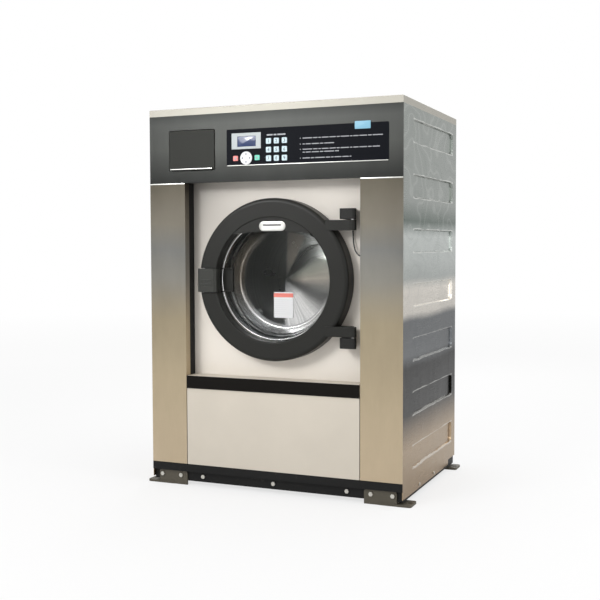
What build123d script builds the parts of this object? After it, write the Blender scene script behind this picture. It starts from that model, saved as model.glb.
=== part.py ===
from build123d import *

import math
import os

# Floor-mounted front-loading washer-extractor, in millimetres.
# X runs to the right of someone facing the door, Y to the back and Z up from the floor.
# The origin lies on the floor, at the centre of the four anchor holes.

# ---------------------------------------------------------------- casing
cabinet_width = 970.0
cabinet_depth = 700.0
axis_z = 761.0  # drum axis above the floor
fascia_height = 243.0
lid_rim = 25.0
lid_corner = 3.0
skin = 2.0  # sheet of the casing
bend_return = 20.0  # depth of the folded edges
pillar_flange = 30.0
door_recess = 70.0  # door panel behind the front plane
room_below_door = 65.0  # from the ring down to the ledge
room_above_door = 60.0  # from the ring up to the fascia
room_beside_door = 52.0  # from the ring to the left pillar
room_at_hinges = 46.0  # from the ring to the right pillar
panel_overlap = 30.0  # door panel above the fascia's lower edge
fold_gap = 0.5  # between two sheets that meet at a seam
pillar_seam = 2.5  # between a pillar and the lower panel
rest_gap = 0.3  # between a piece and the seat that it lies on
screw_gap = 0.3  # radial room round a screw
cut_through = 1.0  # how far a cutting tool runs past the material

# ---------------------------------------------------------------- welded base frame
frame_lift = 15.0  # underside of the rails above the floor
rail_height = 37.0
rail_width = 60.0
rail_wall = 4.0
rail_setback = 15.0
cross_pitch = 190.0  # between the two crossbars
cross_shift = -17.0  # middle of the crossbars from the middle of the tub
post_size = 40.0
post_wall = 3.0
saddle_plate = 8.0
saddle_inner = 170.0
saddle_inset = 55.0  # outer edge of a saddle inside the tub's radius
saddle_foot = 40.0  # foot of a saddle outside its upper edge
shelf_plate = 3.0
motor_plate = 6.0
motor_plate_room = 15.0

# ---------------------------------------------------------------- floor brackets
anchor_out = 13.0  # anchor hole outside the cabinet's side
anchor_in = 44.0  # anchor hole inside the cabinet's front and back
anchor_hole_r = 7.0
bracket_plate = 8.0
bracket_leg = 6.0
bracket_out = 27.0  # tip of the flange outside the cabinet's side
bracket_in = 85.0  # root of the flange inside it
bracket_depth = 73.0
bracket_corner = 10.0
leg_in = 23.0  # outer end of the leg inside the cabinet's side
leg_length = 117.0
leg_corner = 8.0
leg_top_gap = 2.0
frame_bolt_z = 35.0
frame_bolt_r = 4.0
frame_bolt_head = 8.0
frame_bolt_rise = 5.0
leg_bolt_in = (14.0, 92.0)  # from the outer end of the leg
beam_bolt_x = (2.0, 281.0)
side_screw_r = 6.0
side_screw_rise = 3.0
side_screw_z = 38.0

# ---------------------------------------------------------------- casing panels
plinth_height = 29.0
strip_height = 46.0
strip_proud = 4.0
strip_edge = 1.5
side_panel_bottom = 24.0
side_notch_depth = 99.0
side_notch_top = 44.0
rib_count = 7
rib_height = 80.0
rib_first_z = 109.0
rib_room_above = 41.0
rib_room_front = 115.0
rib_room_rear = 50.0
rib_depth = 7.0
rib_corner = 20.0
rib_slope = 30.0
rear_split_rise = 20.0  # seam of the two rear panels above the ledge
vent_count = 7
vent_pitch = 22.0
vent_width = 150.0
vent_height = 8.0
vent_x = 250.0
upper_vent_drop = 330.0  # first vent below the top of the upper panel
lower_vent_drop = 90.0

# ---------------------------------------------------------------- controls
overlay_left = -168.0
overlay_side_room = 50.0
overlay_rise = 57.0  # lower edge above the fascia's lower edge
overlay_height = 126.0
overlay_thickness = 1.0
overlay_corner = 4.0
key_size = 19.5
key_corner = 3.0
key_edge = 0.8
key_gap = 0.4
key_proud = 2.0
key_depth = 10.0
key_travel = 1.0
key_flange = 1.5
key_lip = 1.6
key_columns = (164.0, 194.0, 224.5)  # from the overlay's left edge
key_rows = (80.0, 50.0, 20.0)  # above its lower edge
low_key_width = 19.0
low_key_height = 18.0
low_row = 24.0
stop_column = 35.5
pad_column = 77.0
start_column = 120.0
round_pad_r = 23.0
display_column = 20.0
display_width = 114.0
display_row = 56.0
display_height = 56.0
display_proud = 0.8
display_edge = 0.6
screen_column = 42.0
screen_width = 73.0
screen_row = 64.0
screen_height = 37.0
screen_sink = 1.5
board_thickness = 1.6
board_side_room = 8.0
board_end_room = 4.0
board_post_r = 3.5
board_post_in = 6.0
switch_half = 3.0
switch_height = 1.7

# ---------------------------------------------------------------- detergent drawer
drawer_side_room = 83.0  # from the cabinet's left side
drawer_to_overlay = 49.0
drawer_rise = 45.0  # above the fascia's lower edge
drawer_height = 143.0
drawer_corner = 5.0
drawer_edge = 2.0
drawer_front = 12.0
drawer_proud = 3.0
drawer_gap = 2.0
lip_in = 6.0
lip_proud = 5.0
lip_height = 7.0
lip_edge = 1.8
tray_wall = 3.0
tray_depth = 190.0
tray_height = 85.0
tray_side = 6.0
bay_count = 3
box_wall = 3.0
box_depth = 236.0
box_room = 8.0  # above and below the drawer's face
box_side_room = 10.0
runner_height = 18.0
runner_width = 14.0

# ---------------------------------------------------------------- door
aperture_r = 220.0
ring_width = 68.0
ring_depth = 61.0
ring_gap = 4.0  # ring back to door panel
ring_edge = 14.0
ring_inner_edge = 4.0
glass_land = 42.0  # ring face to glass seal
glass_thickness = 6.0
glass_lap = 24.0  # flange of the glass beyond the aperture
bowl_depth = 86.0
bowl_taper = 34.0
bowl_corner = 14.0
bowl_rim_draft = 2.0
seal_wall = 2.0
seal_lap = 4.0
retainer_thickness = 5.0
retainer_in = 22.0  # outer edge inside the ring's radius
retainer_lap = 6.0
retainer_screw_count = 12
retainer_screw_in = 8.0
retainer_screw_r = 2.5
retainer_screw_depth = 8.0
retainer_head_r = 4.5
retainer_head = 3.0
groove_in = 17.0
groove_out = 6.0
groove_depth = 40.0
groove_rib = 6.0
groove_rib_count = 12
web_sink = 3.0
web_thickness = 9.0
web_crown_drop = 49.0  # lower edge of the web below the aperture's top, at the middle
web_end_drop = 59.0

# ---------------------------------------------------------------- hinges
hinge_out = 14.0  # pin axis outside the ring
hinge_in = 14.0  # pin axis behind the front plane
knuckle_r = 13.0
arm_height = 35.5
upper_arm_rise = 190.0  # arm middle above the axis
lower_arm_drop = 175.0  # arm middle below the axis
arm_root_in = 83.0
arm_front = 11.0
arm_depth = 36.0
arm_corner = 20.0
block_height = 36.0
block_gap = 3.0
block_length = 46.0
block_land = 1.0  # flat left between the two rounds of its front
block_foot_in = 9.0  # right edge of the foot inside the pin axis
pin_r = 6.0
pin_sink = 2.0
pin_end_room = 4.0
pin_fit = 0.05
press_fit = 0.02

# ---------------------------------------------------------------- handle
handle_out = 2.0  # outer edge outside the ring
handle_in = 73.0
handle_low = 46.0  # below the axis
handle_high = 39.0  # above the axis
handle_proud = 10.0
handle_pocket = 17.0
handle_pocket_gap = 4.0
handle_pivot_in = 16.0
handle_pivot_depth = 9.0
handle_pin_r = 4.0
handle_pin_reach = 8.0
handle_hub_r = 7.0
handle_side_gap = 1.5
handle_heel = 12.0
handle_bevel = 8.0
handle_edge = 5.0
handle_rib_drops = (2.5, 18.0)  # grip ribs below the axis
handle_rib_half = 3.0
handle_rib_in = 14.5
handle_rib_rise = 1.5
handle_rib_edge = 1.2
guard_reach = 52.0
guard_wall = 3.0
guard_lip = 6.0

# ---------------------------------------------------------------- door lock
hook_in = 33.0  # inside the ring's radius
hook_plate = 8.0
hook_height = 24.0
hook_reach = 48.0
hook_corner = 8.0
hook_eye_r = 7.0
hook_foot_plate = 4.0
hook_foot_out = 11.0
hook_foot_in = 18.0
hook_foot_height = 40.0
bolt_r = 5.0
bolt_setback = 8.0
bolt_length = 52.0
bolt_chamfer = 1.0
lock_out = 80.0
lock_in = 21.0
lock_low = 38.0
lock_high = 42.0
lock_corner = 6.0
lock_floor = 4.0
throat_side = 7.5  # room on each side of the hook's plate
throat_end = 3.0
guide_end_room = 8.0
coil_r = 17.0
coil_length = 45.0
slot_room = 5.0

# ---------------------------------------------------------------- tub and drum
drum_r = 352.0
tub_room = 33.0  # radial room between drum and tub
tub_wall = 3.0
tub_back_wall = 4.0
tub_flange = 10.0
mouth_depth = 58.0  # tub front behind the door panel
drive_room = 204.0  # tub back in front of the cabinet's back
mouth_in = 5.0
mouth_collar = 11.0
panel_opening_room = 2.0
drum_wall = 2.0
drum_mouth_in = 8.0
drum_lip_gap = 11.0  # drum lip behind the tub front
drum_dish = 17.0
drum_shoulder = 6.0
drum_tub_gap = 23.0  # drum back in front of the tub back
lifter_count = 3
lifter_height = 72.0
lifter_half_base = 42.0
lifter_half_tip = 12.0
lifter_bevel = 5.0
lifter_clear = 24.0
hub_press = 10.0  # depth of the pressed middle of the drum back
hub_room = 12.0  # flat middle outside the hub
hub_slope = 60.0
seal_gap = 0.6
seal_face = 1.0
seal_lip = 15.0
seal_lip_edge = 3.0
sleeve_wall = 5.0
sleeve_bulge = 2.0
shaft_r = 30.0
tub_hole_room = 5.0  # round the shaft
spider_hub = 28.0
spider_arm = 60.0
spider_in = 20.0
spider_depth = 14.0
bearing_outer_r = 65.0
bearing_width = 30.0
shaft_seal_width = 12.0
shaft_seal_set = 2.0
front_bearing_set = 28.0
rear_bearing_set = 5.0
housing_r = 85.0
housing_flange_r = 170.0
housing_flange = 10.0
housing_cone = 45.0
housing_step = 10.0

# ---------------------------------------------------------------- drive
pulley_r = 220.0
pulley_room = 86.0  # front face in front of the cabinet's back
pulley_width = 50.0
pulley_gap = 8.0  # pulley behind the bearing housing
pulley_rim_depth = 20.0
pulley_web = 10.0
pulley_hub_r = 52.0
pulley_hole_r = 45.0
pulley_hole_pcr = 125.0
pulley_hole_count = 5
shaft_overrun = 6.0
groove_pitch = 20.0
groove_room = 0.7
groove_deeper = 2.0
belt_top = 12.0
belt_bottom = 7.0
belt_height = 8.0
belt_lift = 1.0
belt_count = 2
motor_x = 250.0
motor_z = 190.0
motor_pulley_r = 45.0
motor_pulley_gap = 14.0
motor_saddle_gap = 35.0
motor_r = 90.0
motor_core_r = 82.0
motor_fins = 18
motor_fin = 4.0
motor_end = 15.0
motor_shaft_r = 14.0
motor_shaft_depth = 20.0
motor_foot = 30.0
motor_foot_half = 75.0
motor_foot_in = 50.0
motor_foot_rise = 25.0
terminal_half = 35.0
terminal_height = 115.0
terminal_end = 45.0
inverter_side_room = 45.0  # from the cabinet's side
inverter_width = 200.0
inverter_height = 240.0
inverter_room = 5.0
inverter_corner = 6.0
inverter_fins = 8
inverter_fin = 3.0
inverter_fin_depth = 6.0
inverter_fin_room = 30.0

# ---------------------------------------------------------------- water, drain and mains
service_rise = 121.0  # inlets and gland above the fascia's lower edge
inlet_in = (135.0, 215.0)  # from the cabinet's left side
inlet_thread_r = 13.2
inlet_thread = 20.0
inlet_neck_r = 11.0
inlet_neck = 2.0
inlet_bore_r = 8.0
inlet_plug = 8.0  # solid end of the inlet's bore inside the casing
inlet_body_r = 20.0
inlet_body = 48.0
inlet_coil_half = 17.0
inlet_coil_in = 10.0
inlet_coil_height = 50.0
hose_r = 9.0
fill_hose_r = 25.0
fill_hose_in = 60.0
fill_hose_depth = 200.0  # lower end above the axis
drain_z = 190.0
drain_spigot_r = 37.5
drain_spigot = 42.0
drain_pipe_r = 34.0
drain_wall = 4.0
sump_r = 40.0
sump_overlap = 12.0
valve_half_width = 62.0
valve_half_depth = 55.0
valve_low = 55.0
valve_high = 60.0
valve_corner = 8.0
valve_floor = 15.0
gland_in = 145.0
gland_bore_r = 6.5
gland_r = 14.0
gland_nut_r = 18.0
gland_nut = 5.0
gland_out = 22.0
gland_inside = 14.0
cable_r = 2.3
cable_behind = 9.0  # cable in front of the door panel

# ---------------------------------------------------------------- planes worked out from these
half_width = cabinet_width / 2
inner_half = half_width - skin
front_y = -cabinet_depth / 2
back_y = cabinet_depth / 2
panel_y = front_y + door_recess
ring_r = aperture_r + ring_width
pillar_inner = ring_r + room_beside_door
hinge_pillar_inner = ring_r + room_at_hinges
ledge_z = axis_z - ring_r - room_below_door
fascia_bottom = axis_z + ring_r + room_above_door
fascia_top = fascia_bottom + fascia_height
cabinet_height = fascia_top + lid_rim
rear_split_z = ledge_z + rear_split_rise
frame_top = frame_lift + rail_height
plinth_top = frame_top + plinth_height
rib_pitch = (fascia_top - rib_room_above - rib_height - rib_first_z) / (rib_count - 1)

beam_front_y = front_y + rail_setback
beam_back_y = beam_front_y + rail_width
beam_inner_x = inner_half - rail_width
post_front_y = panel_y - post_size
post_x = pillar_inner + skin
anchor_x = half_width + anchor_out
anchor_y = back_y - anchor_in
leg_far_x = half_width - leg_in
leg_bolt_x = tuple(leg_far_x - step for step in leg_bolt_in)

overlay_right = half_width - overlay_side_room
overlay_bottom = fascia_bottom + overlay_rise
overlay_top = overlay_bottom + overlay_height
overlay_front_y = front_y - overlay_thickness
display_front_y = overlay_front_y - display_proud
display_left = overlay_left + display_column
display_bottom = overlay_bottom + display_row
screen_left = overlay_left + screen_column
screen_bottom = overlay_bottom + screen_row
key_front_y = overlay_front_y - key_proud
key_back_y = key_front_y + key_depth
switch_front_y = key_back_y + key_travel + rest_gap
board_front_y = switch_front_y + switch_height

drawer_left = drawer_side_room - half_width
drawer_right = overlay_left - drawer_to_overlay
drawer_bottom = fascia_bottom + drawer_rise
drawer_top = drawer_bottom + drawer_height
drawer_face_y = front_y - drawer_proud
tray_front_y = drawer_face_y + drawer_front
box_front_y = front_y + skin
box_back_y = box_front_y + box_depth
box_bottom = drawer_bottom - box_room - box_wall
runner_top = box_bottom + box_wall + runner_height
tray_floor = runner_top + rest_gap

ring_back_y = panel_y - ring_gap
ring_front_y = ring_back_y - ring_depth
glass_seat_y = ring_front_y + glass_land
glass_front_y = glass_seat_y + seal_wall
glass_back_y = glass_front_y + glass_thickness
glass_flange_r = aperture_r + glass_lap
bowl_end_y = glass_front_y + bowl_depth
bowl_end_r = aperture_r - bowl_taper
bowl_rim_r = aperture_r - glass_thickness + bowl_rim_draft
retainer_front_y = glass_back_y + seal_wall
retainer_back_y = retainer_front_y + retainer_thickness
retainer_r = ring_r - retainer_in
retainer_screw_pcr = retainer_r - retainer_screw_in
groove_inner = ring_r - groove_in
groove_outer = ring_r - groove_out
hinge_x = ring_r + hinge_out
hinge_y = front_y + hinge_in
upper_arm_z = axis_z + upper_arm_rise
lower_arm_z = axis_z - lower_arm_drop
handle_z0 = axis_z - handle_low
handle_z1 = axis_z + handle_high
handle_pivot_x = -ring_r + handle_pivot_in
handle_pivot_y = ring_front_y + handle_pivot_depth
hook_x = -ring_r + hook_in
hook_z = (handle_z0 + handle_z1) / 2
hook_front_y = retainer_back_y + hook_foot_plate
hook_back_y = hook_front_y + hook_reach
eye_y = hook_back_y - hook_height / 2

tub_r = drum_r + tub_room
tub_front_y = panel_y + mouth_depth
tub_back_y = back_y - drive_room
tub_rear_y = tub_back_y + tub_back_wall
mouth_r = aperture_r - mouth_in
drum_mouth_r = aperture_r - drum_mouth_in
drum_lip_y = tub_front_y + drum_lip_gap
drum_back_y = tub_back_y - drum_tub_gap
hub_face_y = drum_back_y - hub_press
hub_flat_r = shaft_r + spider_hub + hub_room
hub_dish_r = hub_flat_r + hub_slope
pulley_front_y = back_y - pulley_room
pulley_back_y = pulley_front_y + pulley_width
housing_end_y = pulley_front_y - pulley_gap
shaft_end_y = pulley_back_y + shaft_overrun
cross_middle_y = (tub_front_y + tub_back_y) / 2 + cross_shift
front_cross_y = cross_middle_y - cross_pitch / 2
rear_cross_y = cross_middle_y + cross_pitch / 2
saddle_outer = tub_r - saddle_inset
motor_front_y = rear_cross_y + motor_saddle_gap
motor_back_y = pulley_front_y - motor_pulley_gap

service_z = fascia_bottom + service_rise
inlet_x = tuple(step - half_width for step in inlet_in)
inlet_thread_y = back_y + inlet_neck
gland_x = half_width - gland_in


def block(x0, x1, y0, y1, z0, z1):
    """A box between two corners."""
    return Pos(x0, y0, z0) * Box(x1 - x0, y1 - y0, z1 - z0, align=(Align.MIN,) * 3)


def rod_y(radius, y0, y1, x=0.0, z=0.0):
    """A round bar along Y."""
    return Pos(x, (y0 + y1) / 2, z) * Rot(90, 0, 0) * Cylinder(radius, y1 - y0)


def rod_x(radius, x0, x1, y, z):
    """A round bar along X."""
    return Pos((x0 + x1) / 2, y, z) * Rot(0, 90, 0) * Cylinder(radius, x1 - x0)


def rod_z(radius, z0, z1, x, y):
    """A round bar along Z."""
    return Pos(x, y, (z0 + z1) / 2) * Cylinder(radius, z1 - z0)


def sheet_y(sketch, y0, y1):
    """A flat shape drawn as seen from the front, X to the right and Z up, between two depths."""
    plane = Plane(origin=(0, y1, 0), x_dir=(1, 0, 0), z_dir=(0, -1, 0))
    return extrude(plane * sketch, amount=y1 - y0)


def turned(points, z=axis_z, x=0.0):
    """A shape of (radius, y) points turned about an axis along Y."""
    profile = make_face(Polyline(*points, close=True))
    return Pos(x, 0, z) * revolve(profile, axis=Axis.Y)


def column(points, z0, z1):
    """A section drawn from above, X and Y, raised between two heights."""
    return Pos(0, 0, z0) * extrude(make_face(Polyline(*points, close=True)), amount=z1 - z0)


def both_sides(solid):
    """The solid and its mirror image about the middle of the cabinet."""
    return [solid, mirror(solid, about=Plane.YZ)]


def about_axis(angle):
    """A place turned about the drum axis."""
    return Pos(0, 0, axis_z) * Rot(0, angle, 0)


# ---------------------------------------------------------------- base frame and feet
def frame_bolt_places():
    places = [beam_bolt_x[0], -beam_bolt_x[1], beam_bolt_x[1]]
    for x in leg_bolt_x:
        places += [-x, x]
    return places


def make_base_frame():
    """Channels round the floor and across it, two posts, four saddles and two shelves."""
    side, inside = inner_half, beam_inner_x
    half = rail_width / 2
    walls = [block(-side, side, beam_front_y, beam_back_y, frame_lift, frame_top)]
    walls.append(block(-side, side, -beam_back_y, -beam_front_y, frame_lift, frame_top))
    walls += both_sides(block(inside, side, beam_back_y, -beam_back_y, frame_lift, frame_top))
    for y in (front_cross_y, rear_cross_y):
        walls.append(block(-inside, inside, y - half, y + half, frame_lift, frame_top))
    frame = walls[0].fuse(*walls[1:])
    low, high = frame_lift + rail_wall, frame_top - rail_wall
    past = cut_through
    hollows = []
    for y0, y1 in (
        (beam_front_y + rail_wall, beam_back_y + past),
        (-beam_back_y - past, -beam_front_y - rail_wall),
        (front_cross_y - half - past, front_cross_y + half - rail_wall),
        (rear_cross_y - half - past, rear_cross_y + half - rail_wall),
    ):
        hollows.append(block(-inside, inside, y0, y1, low, high))
    hollows += both_sides(block(inside - past, side - rail_wall, beam_back_y, -beam_back_y, low, high))
    for x in frame_bolt_places():
        y1 = beam_front_y + rail_wall + past
        hollows.append(rod_y(frame_bolt_r + screw_gap, beam_front_y - past, y1, x, frame_bolt_z))
    frame = frame.cut(*hollows)
    extras = both_sides(make_post())
    for y in (front_cross_y, rear_cross_y):
        extras += both_sides(make_saddle(y))
    shelf_y0, shelf_y1 = front_cross_y + half, rear_cross_y - half
    extras.append(block(-side, -saddle_inner, shelf_y0, shelf_y1, frame_top - shelf_plate, frame_top))
    reach = motor_r + motor_plate_room
    plate_x0, plate_x1 = motor_x - reach, motor_x + reach
    plate_z0 = frame_top - motor_plate
    extras.append(block(plate_x0, plate_x1, rear_cross_y + half, -beam_back_y, plate_z0, frame_top))
    return frame.fuse(*extras)


def make_post():
    """Square tube between the frame and the fascia, which the door panel lies on."""
    x0, x1 = post_x, post_x + post_size
    wall = post_wall
    tube = block(x0, x1, post_front_y, panel_y, frame_top, fascia_bottom)
    return tube - block(
        x0 + wall, x1 - wall, post_front_y + wall, panel_y - wall, frame_top, fascia_bottom
    )


def make_saddle(y):
    """A plate with its top cut round to cradle the tub."""
    cradle = tub_r + rest_gap
    top = axis_z - math.sqrt(cradle**2 - saddle_outer**2)
    outline = Polyline(
        (saddle_inner, frame_top),
        (saddle_outer + saddle_foot, frame_top),
        (saddle_outer, top),
        (saddle_inner, top),
        close=True,
    )
    plate = sheet_y(make_face(outline), y - saddle_plate / 2, y + saddle_plate / 2)
    return plate - rod_y(cradle, y - saddle_plate, y + saddle_plate, 0, axis_z)


def make_floor_brackets():
    """Four feet: a flange with its anchor hole, welded to a leg that is bolted to the beam."""
    flange_y0 = -anchor_y - bracket_depth / 2
    flange_y1 = -anchor_y + bracket_depth / 2
    root, tip = half_width - bracket_in, half_width + bracket_out
    flange = block(root, tip, flange_y0, flange_y1, 0, bracket_plate)
    flange = fillet(flange.edges().filter_by(Axis.Z).sort_by(Axis.X)[-2:], bracket_corner)
    leg_y0 = beam_front_y - bracket_leg
    leg = block(leg_far_x - leg_length, leg_far_x, leg_y0, beam_front_y, 0, frame_top - leg_top_gap)
    leg = fillet(leg.edges().filter_by(Axis.Y).sort_by(Axis.Z)[-2:], leg_corner)
    pad = block(root, leg_far_x, beam_front_y, flange_y1, bracket_plate, frame_lift)
    bracket = flange + leg + pad
    past = cut_through
    bracket -= rod_z(anchor_hole_r, -past, bracket_plate + past, anchor_x, -anchor_y)
    for x in leg_bolt_x:
        bracket -= rod_y(frame_bolt_r + screw_gap, leg_y0 - past, beam_front_y + past, x, frame_bolt_z)
    pair = both_sides(bracket)
    return pair + [mirror(solid, about=Plane.XZ) for solid in pair]


def make_frame_bolts():
    """Hexagon screws of the front feet and beam, and the round ones of the side panels."""
    bolts = []
    for x in frame_bolt_places():
        seat = beam_front_y - bracket_leg if abs(x) in leg_bolt_x else beam_front_y
        head = sheet_y(RegularPolygon(frame_bolt_head, 6), seat - frame_bolt_rise, seat)
        shank = rod_y(frame_bolt_r, seat, beam_front_y + rail_wall)
        bolts.append(Pos(x, 0, frame_bolt_z) * (head + shank))
    for y in (front_cross_y, rear_cross_y):
        bolts += both_sides(rod_x(side_screw_r, half_width, half_width + side_screw_rise, y, side_screw_z))
    return bolts


# ---------------------------------------------------------------- casing sheets
def make_plinth():
    z0 = frame_top
    face = block(-half_width, half_width, front_y, front_y + skin, z0, plinth_top)
    foot = block(-inner_half, inner_half, front_y + skin, post_front_y - fold_gap, z0, z0 + skin)
    return face + foot


def make_pillar(x0):
    """Folded sheet on the right of the cabinet, from its inner edge."""
    x1 = half_width
    front, back, inside = front_y, front_y + pillar_flange, front_y + skin
    section = [
        (x0, back),
        (x0, front),
        (x1, front),
        (x1, inside),
        (inner_half, inside),
        (inner_half, back),
        (inner_half - skin, back),
        (inner_half - skin, inside),
        (x0 + skin, inside),
        (x0 + skin, back),
    ]
    return column(section, plinth_top, fascia_bottom)


def make_right_side_panel():
    """Sheet with seven pressed pads, notched at the foot of its rear edge."""
    y1 = back_y
    past = cut_through
    panel = block(inner_half, half_width, front_y + skin, y1, side_panel_bottom, fascia_top)
    notch_z0 = side_panel_bottom - past
    panel -= block(
        inner_half - past, half_width + past, y1 - side_notch_depth, y1 + past, notch_z0, side_notch_top
    )
    inward = Plane(origin=(half_width, 0, 0), x_dir=(0, -1, 0), z_dir=(-1, 0, 0))
    rib_y0, rib_y1 = front_y + rib_room_front, back_y - rib_room_rear
    dies = []
    pads = []
    for index in range(rib_count):
        z = rib_first_z + index * rib_pitch + rib_height / 2
        place = Pos(-(rib_y0 + rib_y1) / 2, z)
        outline = RectangleRounded(rib_y1 - rib_y0, rib_height, rib_corner)
        wider = RectangleRounded(rib_y1 - rib_y0 + 2 * skin, rib_height + 2 * skin, rib_corner + skin)
        dies.append(extrude(inward * (place * outline), amount=rib_depth, taper=rib_slope))
        pads.append(extrude(inward.offset(skin) * (place * wider), amount=rib_depth, taper=rib_slope))
    return panel.fuse(*pads).cut(*dies)


def vent_cuts(first_z):
    """Two columns of slots through the rear sheet, downwards from a height."""
    slot = sheet_y(SlotOverall(vent_width, vent_height), back_y - bend_return, back_y + cut_through)
    return [
        Pos(x, 0, first_z - index * vent_pitch) * slot
        for x in (-vent_x, vent_x)
        for index in range(vent_count)
    ]


def make_back_panel(z0, z1, cuts):
    """Shallow tray with its edges folded inwards."""
    plate = block(-inner_half, inner_half, back_y - skin, back_y, z0, z1)
    y0, y1 = back_y - bend_return, back_y - skin
    folds = both_sides(block(inner_half - skin, inner_half, y0, y1, z0, z1))
    folds.append(block(skin - inner_half, inner_half - skin, y0, y1, z1 - skin, z1))
    return plate.fuse(*folds).cut(*cuts)


def make_top_cover():
    outer = block(-half_width, half_width, front_y, back_y, fascia_top, cabinet_height)
    outer = fillet(outer.edges().group_by(Axis.Z)[-1], lid_corner)
    x1, y0, y1 = inner_half, front_y + skin, back_y - skin
    return outer - block(-x1, x1, y0, y1, fascia_top - cut_through, cabinet_height - skin)


def make_door_panel():
    x1 = post_x + post_size
    back = panel_y + skin
    panel = block(-x1, x1, panel_y, back, ledge_z - strip_height, fascia_bottom + panel_overlap)
    panel -= rod_y(aperture_r + panel_opening_room, panel_y - cut_through, back + cut_through, 0, axis_z)
    slot_x0 = hook_x - hook_plate - slot_room
    slot_x1 = hook_x + hook_plate
    reach = hook_height / 2 + slot_room
    y0, y1 = panel_y - cut_through, back + cut_through
    return panel - block(slot_x0, slot_x1, y0, y1, hook_z - reach, hook_z + reach)


def make_lower_panel():
    x0, x1 = pillar_seam - pillar_inner, hinge_pillar_inner - pillar_seam
    section = [
        (front_y, plinth_top),
        (front_y, ledge_z),
        (panel_y, ledge_z),
        (panel_y, ledge_z - skin),
        (front_y + skin, ledge_z - skin),
        (front_y + skin, plinth_top + skin),
        (front_y + bend_return, plinth_top + skin),
        (front_y + bend_return, plinth_top),
    ]
    profile = Plane.YZ * make_face(Polyline(*section, close=True))
    return Pos(x0, 0, 0) * extrude(profile, amount=x1 - x0)


def make_trim_strip():
    x0, x1 = pillar_seam - pillar_inner, hinge_pillar_inner - pillar_seam
    strip = block(x0, x1, front_y - strip_proud, front_y, ledge_z - strip_height, ledge_z)
    return fillet(strip.edges().group_by(Axis.Y)[0], strip_edge)


# ---------------------------------------------------------------- controls
def key_places():
    """Name, centre and form of every control key, as seen from the front."""
    places = []
    for row in key_rows:
        for column_x in key_columns:
            name = f"key_{len(places) + 1}"
            places.append((name, overlay_left + column_x, overlay_bottom + row, "square"))
    low_z = overlay_bottom + low_row
    places.append(("stop_key", overlay_left + stop_column, low_z, "low"))
    places.append(("start_key", overlay_left + start_column, low_z, "low"))
    places.append(("arrow_pad", overlay_left + pad_column, low_z, "round"))
    return places


def key_outline(form, extra):
    if form == "square":
        return RectangleRounded(key_size + 2 * extra, key_size + 2 * extra, key_corner + extra)
    if form == "low":
        return RectangleRounded(low_key_width + 2 * extra, low_key_height + 2 * extra, key_corner + extra)
    return Circle(round_pad_r + extra)


def display_block(y0, y1, extra=0.0):
    x0, z0 = display_left - extra, display_bottom - extra
    width, height = display_width + 2 * extra, display_height + 2 * extra
    return block(x0, x0 + width, y0, y1, z0, z0 + height)


def control_openings(y0, y1):
    """Openings of the keys and of the display, through a sheet between two depths."""
    cuts = [sheet_y(Pos(x, z) * key_outline(form, key_gap), y0, y1) for _, x, z, form in key_places()]
    return cuts + [display_block(y0, y1, rest_gap)]


def drawer_outline(extra):
    width = drawer_right - drawer_left + 2 * extra
    place = Pos((drawer_left + drawer_right) / 2, (drawer_bottom + drawer_top) / 2)
    return place * RectangleRounded(width, drawer_height + 2 * extra, drawer_corner + extra)


def make_fascia():
    face = block(-half_width, half_width, front_y, front_y + skin, fascia_bottom, fascia_top)
    y0, y1 = front_y + skin, front_y + bend_return
    lower = block(-inner_half, inner_half, y0, y1, fascia_bottom, fascia_bottom + skin)
    upper = block(-inner_half, inner_half, y0, y1, fascia_top - skin, fascia_top)
    cuts = control_openings(front_y - cut_through, y0 + cut_through)
    cuts.append(sheet_y(drawer_outline(drawer_gap), front_y - cut_through, y0 + cut_through))
    return face.fuse(lower, upper).cut(*cuts)


def make_control_overlay():
    centre = Pos((overlay_left + overlay_right) / 2, (overlay_bottom + overlay_top) / 2)
    outline = RectangleRounded(overlay_right - overlay_left, overlay_height, overlay_corner)
    film = sheet_y(centre * outline, overlay_front_y, front_y)
    return film.cut(*control_openings(overlay_front_y - cut_through, front_y + cut_through))


def make_key(x, z, form):
    """Cap with a flange that keeps it behind the fascia."""
    cap = sheet_y(key_outline(form, 0), key_front_y, key_back_y)
    cap = chamfer(cap.edges().group_by(Axis.Y)[0], key_edge)
    flange_front = front_y + skin + rest_gap
    flange = sheet_y(key_outline(form, key_lip), flange_front, flange_front + key_flange)
    return Pos(x, 0, z) * (cap + flange)


def make_control_board():
    """Circuit board on its posts, with a switch behind each key, and the display module."""
    left, right = overlay_left + board_side_room, overlay_right - board_side_room
    low, high = overlay_bottom + board_end_room, overlay_top - board_end_room
    solids = [block(left, right, board_front_y, board_front_y + board_thickness, low, high)]
    middle = (screen_left + overlay_right) / 2
    for x in (left + board_post_in, middle, right - board_post_in):
        for z in (low + board_post_in, high - board_post_in):
            solids.append(rod_y(board_post_r, front_y + skin, board_front_y, x, z))
    half = switch_half
    for _, x, z, _ in key_places():
        solids.append(block(x - half, x + half, switch_front_y, board_front_y, z - half, z + half))
    display = display_block(display_front_y, board_front_y)
    display = fillet(display.edges().group_by(Axis.Y)[0], display_edge)
    screen_x1, screen_z1 = screen_left + screen_width, screen_bottom + screen_height
    y0, y1 = display_front_y - cut_through, display_front_y + screen_sink
    solids.append(display - block(screen_left, screen_x1, y0, y1, screen_bottom, screen_z1))
    return solids


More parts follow.
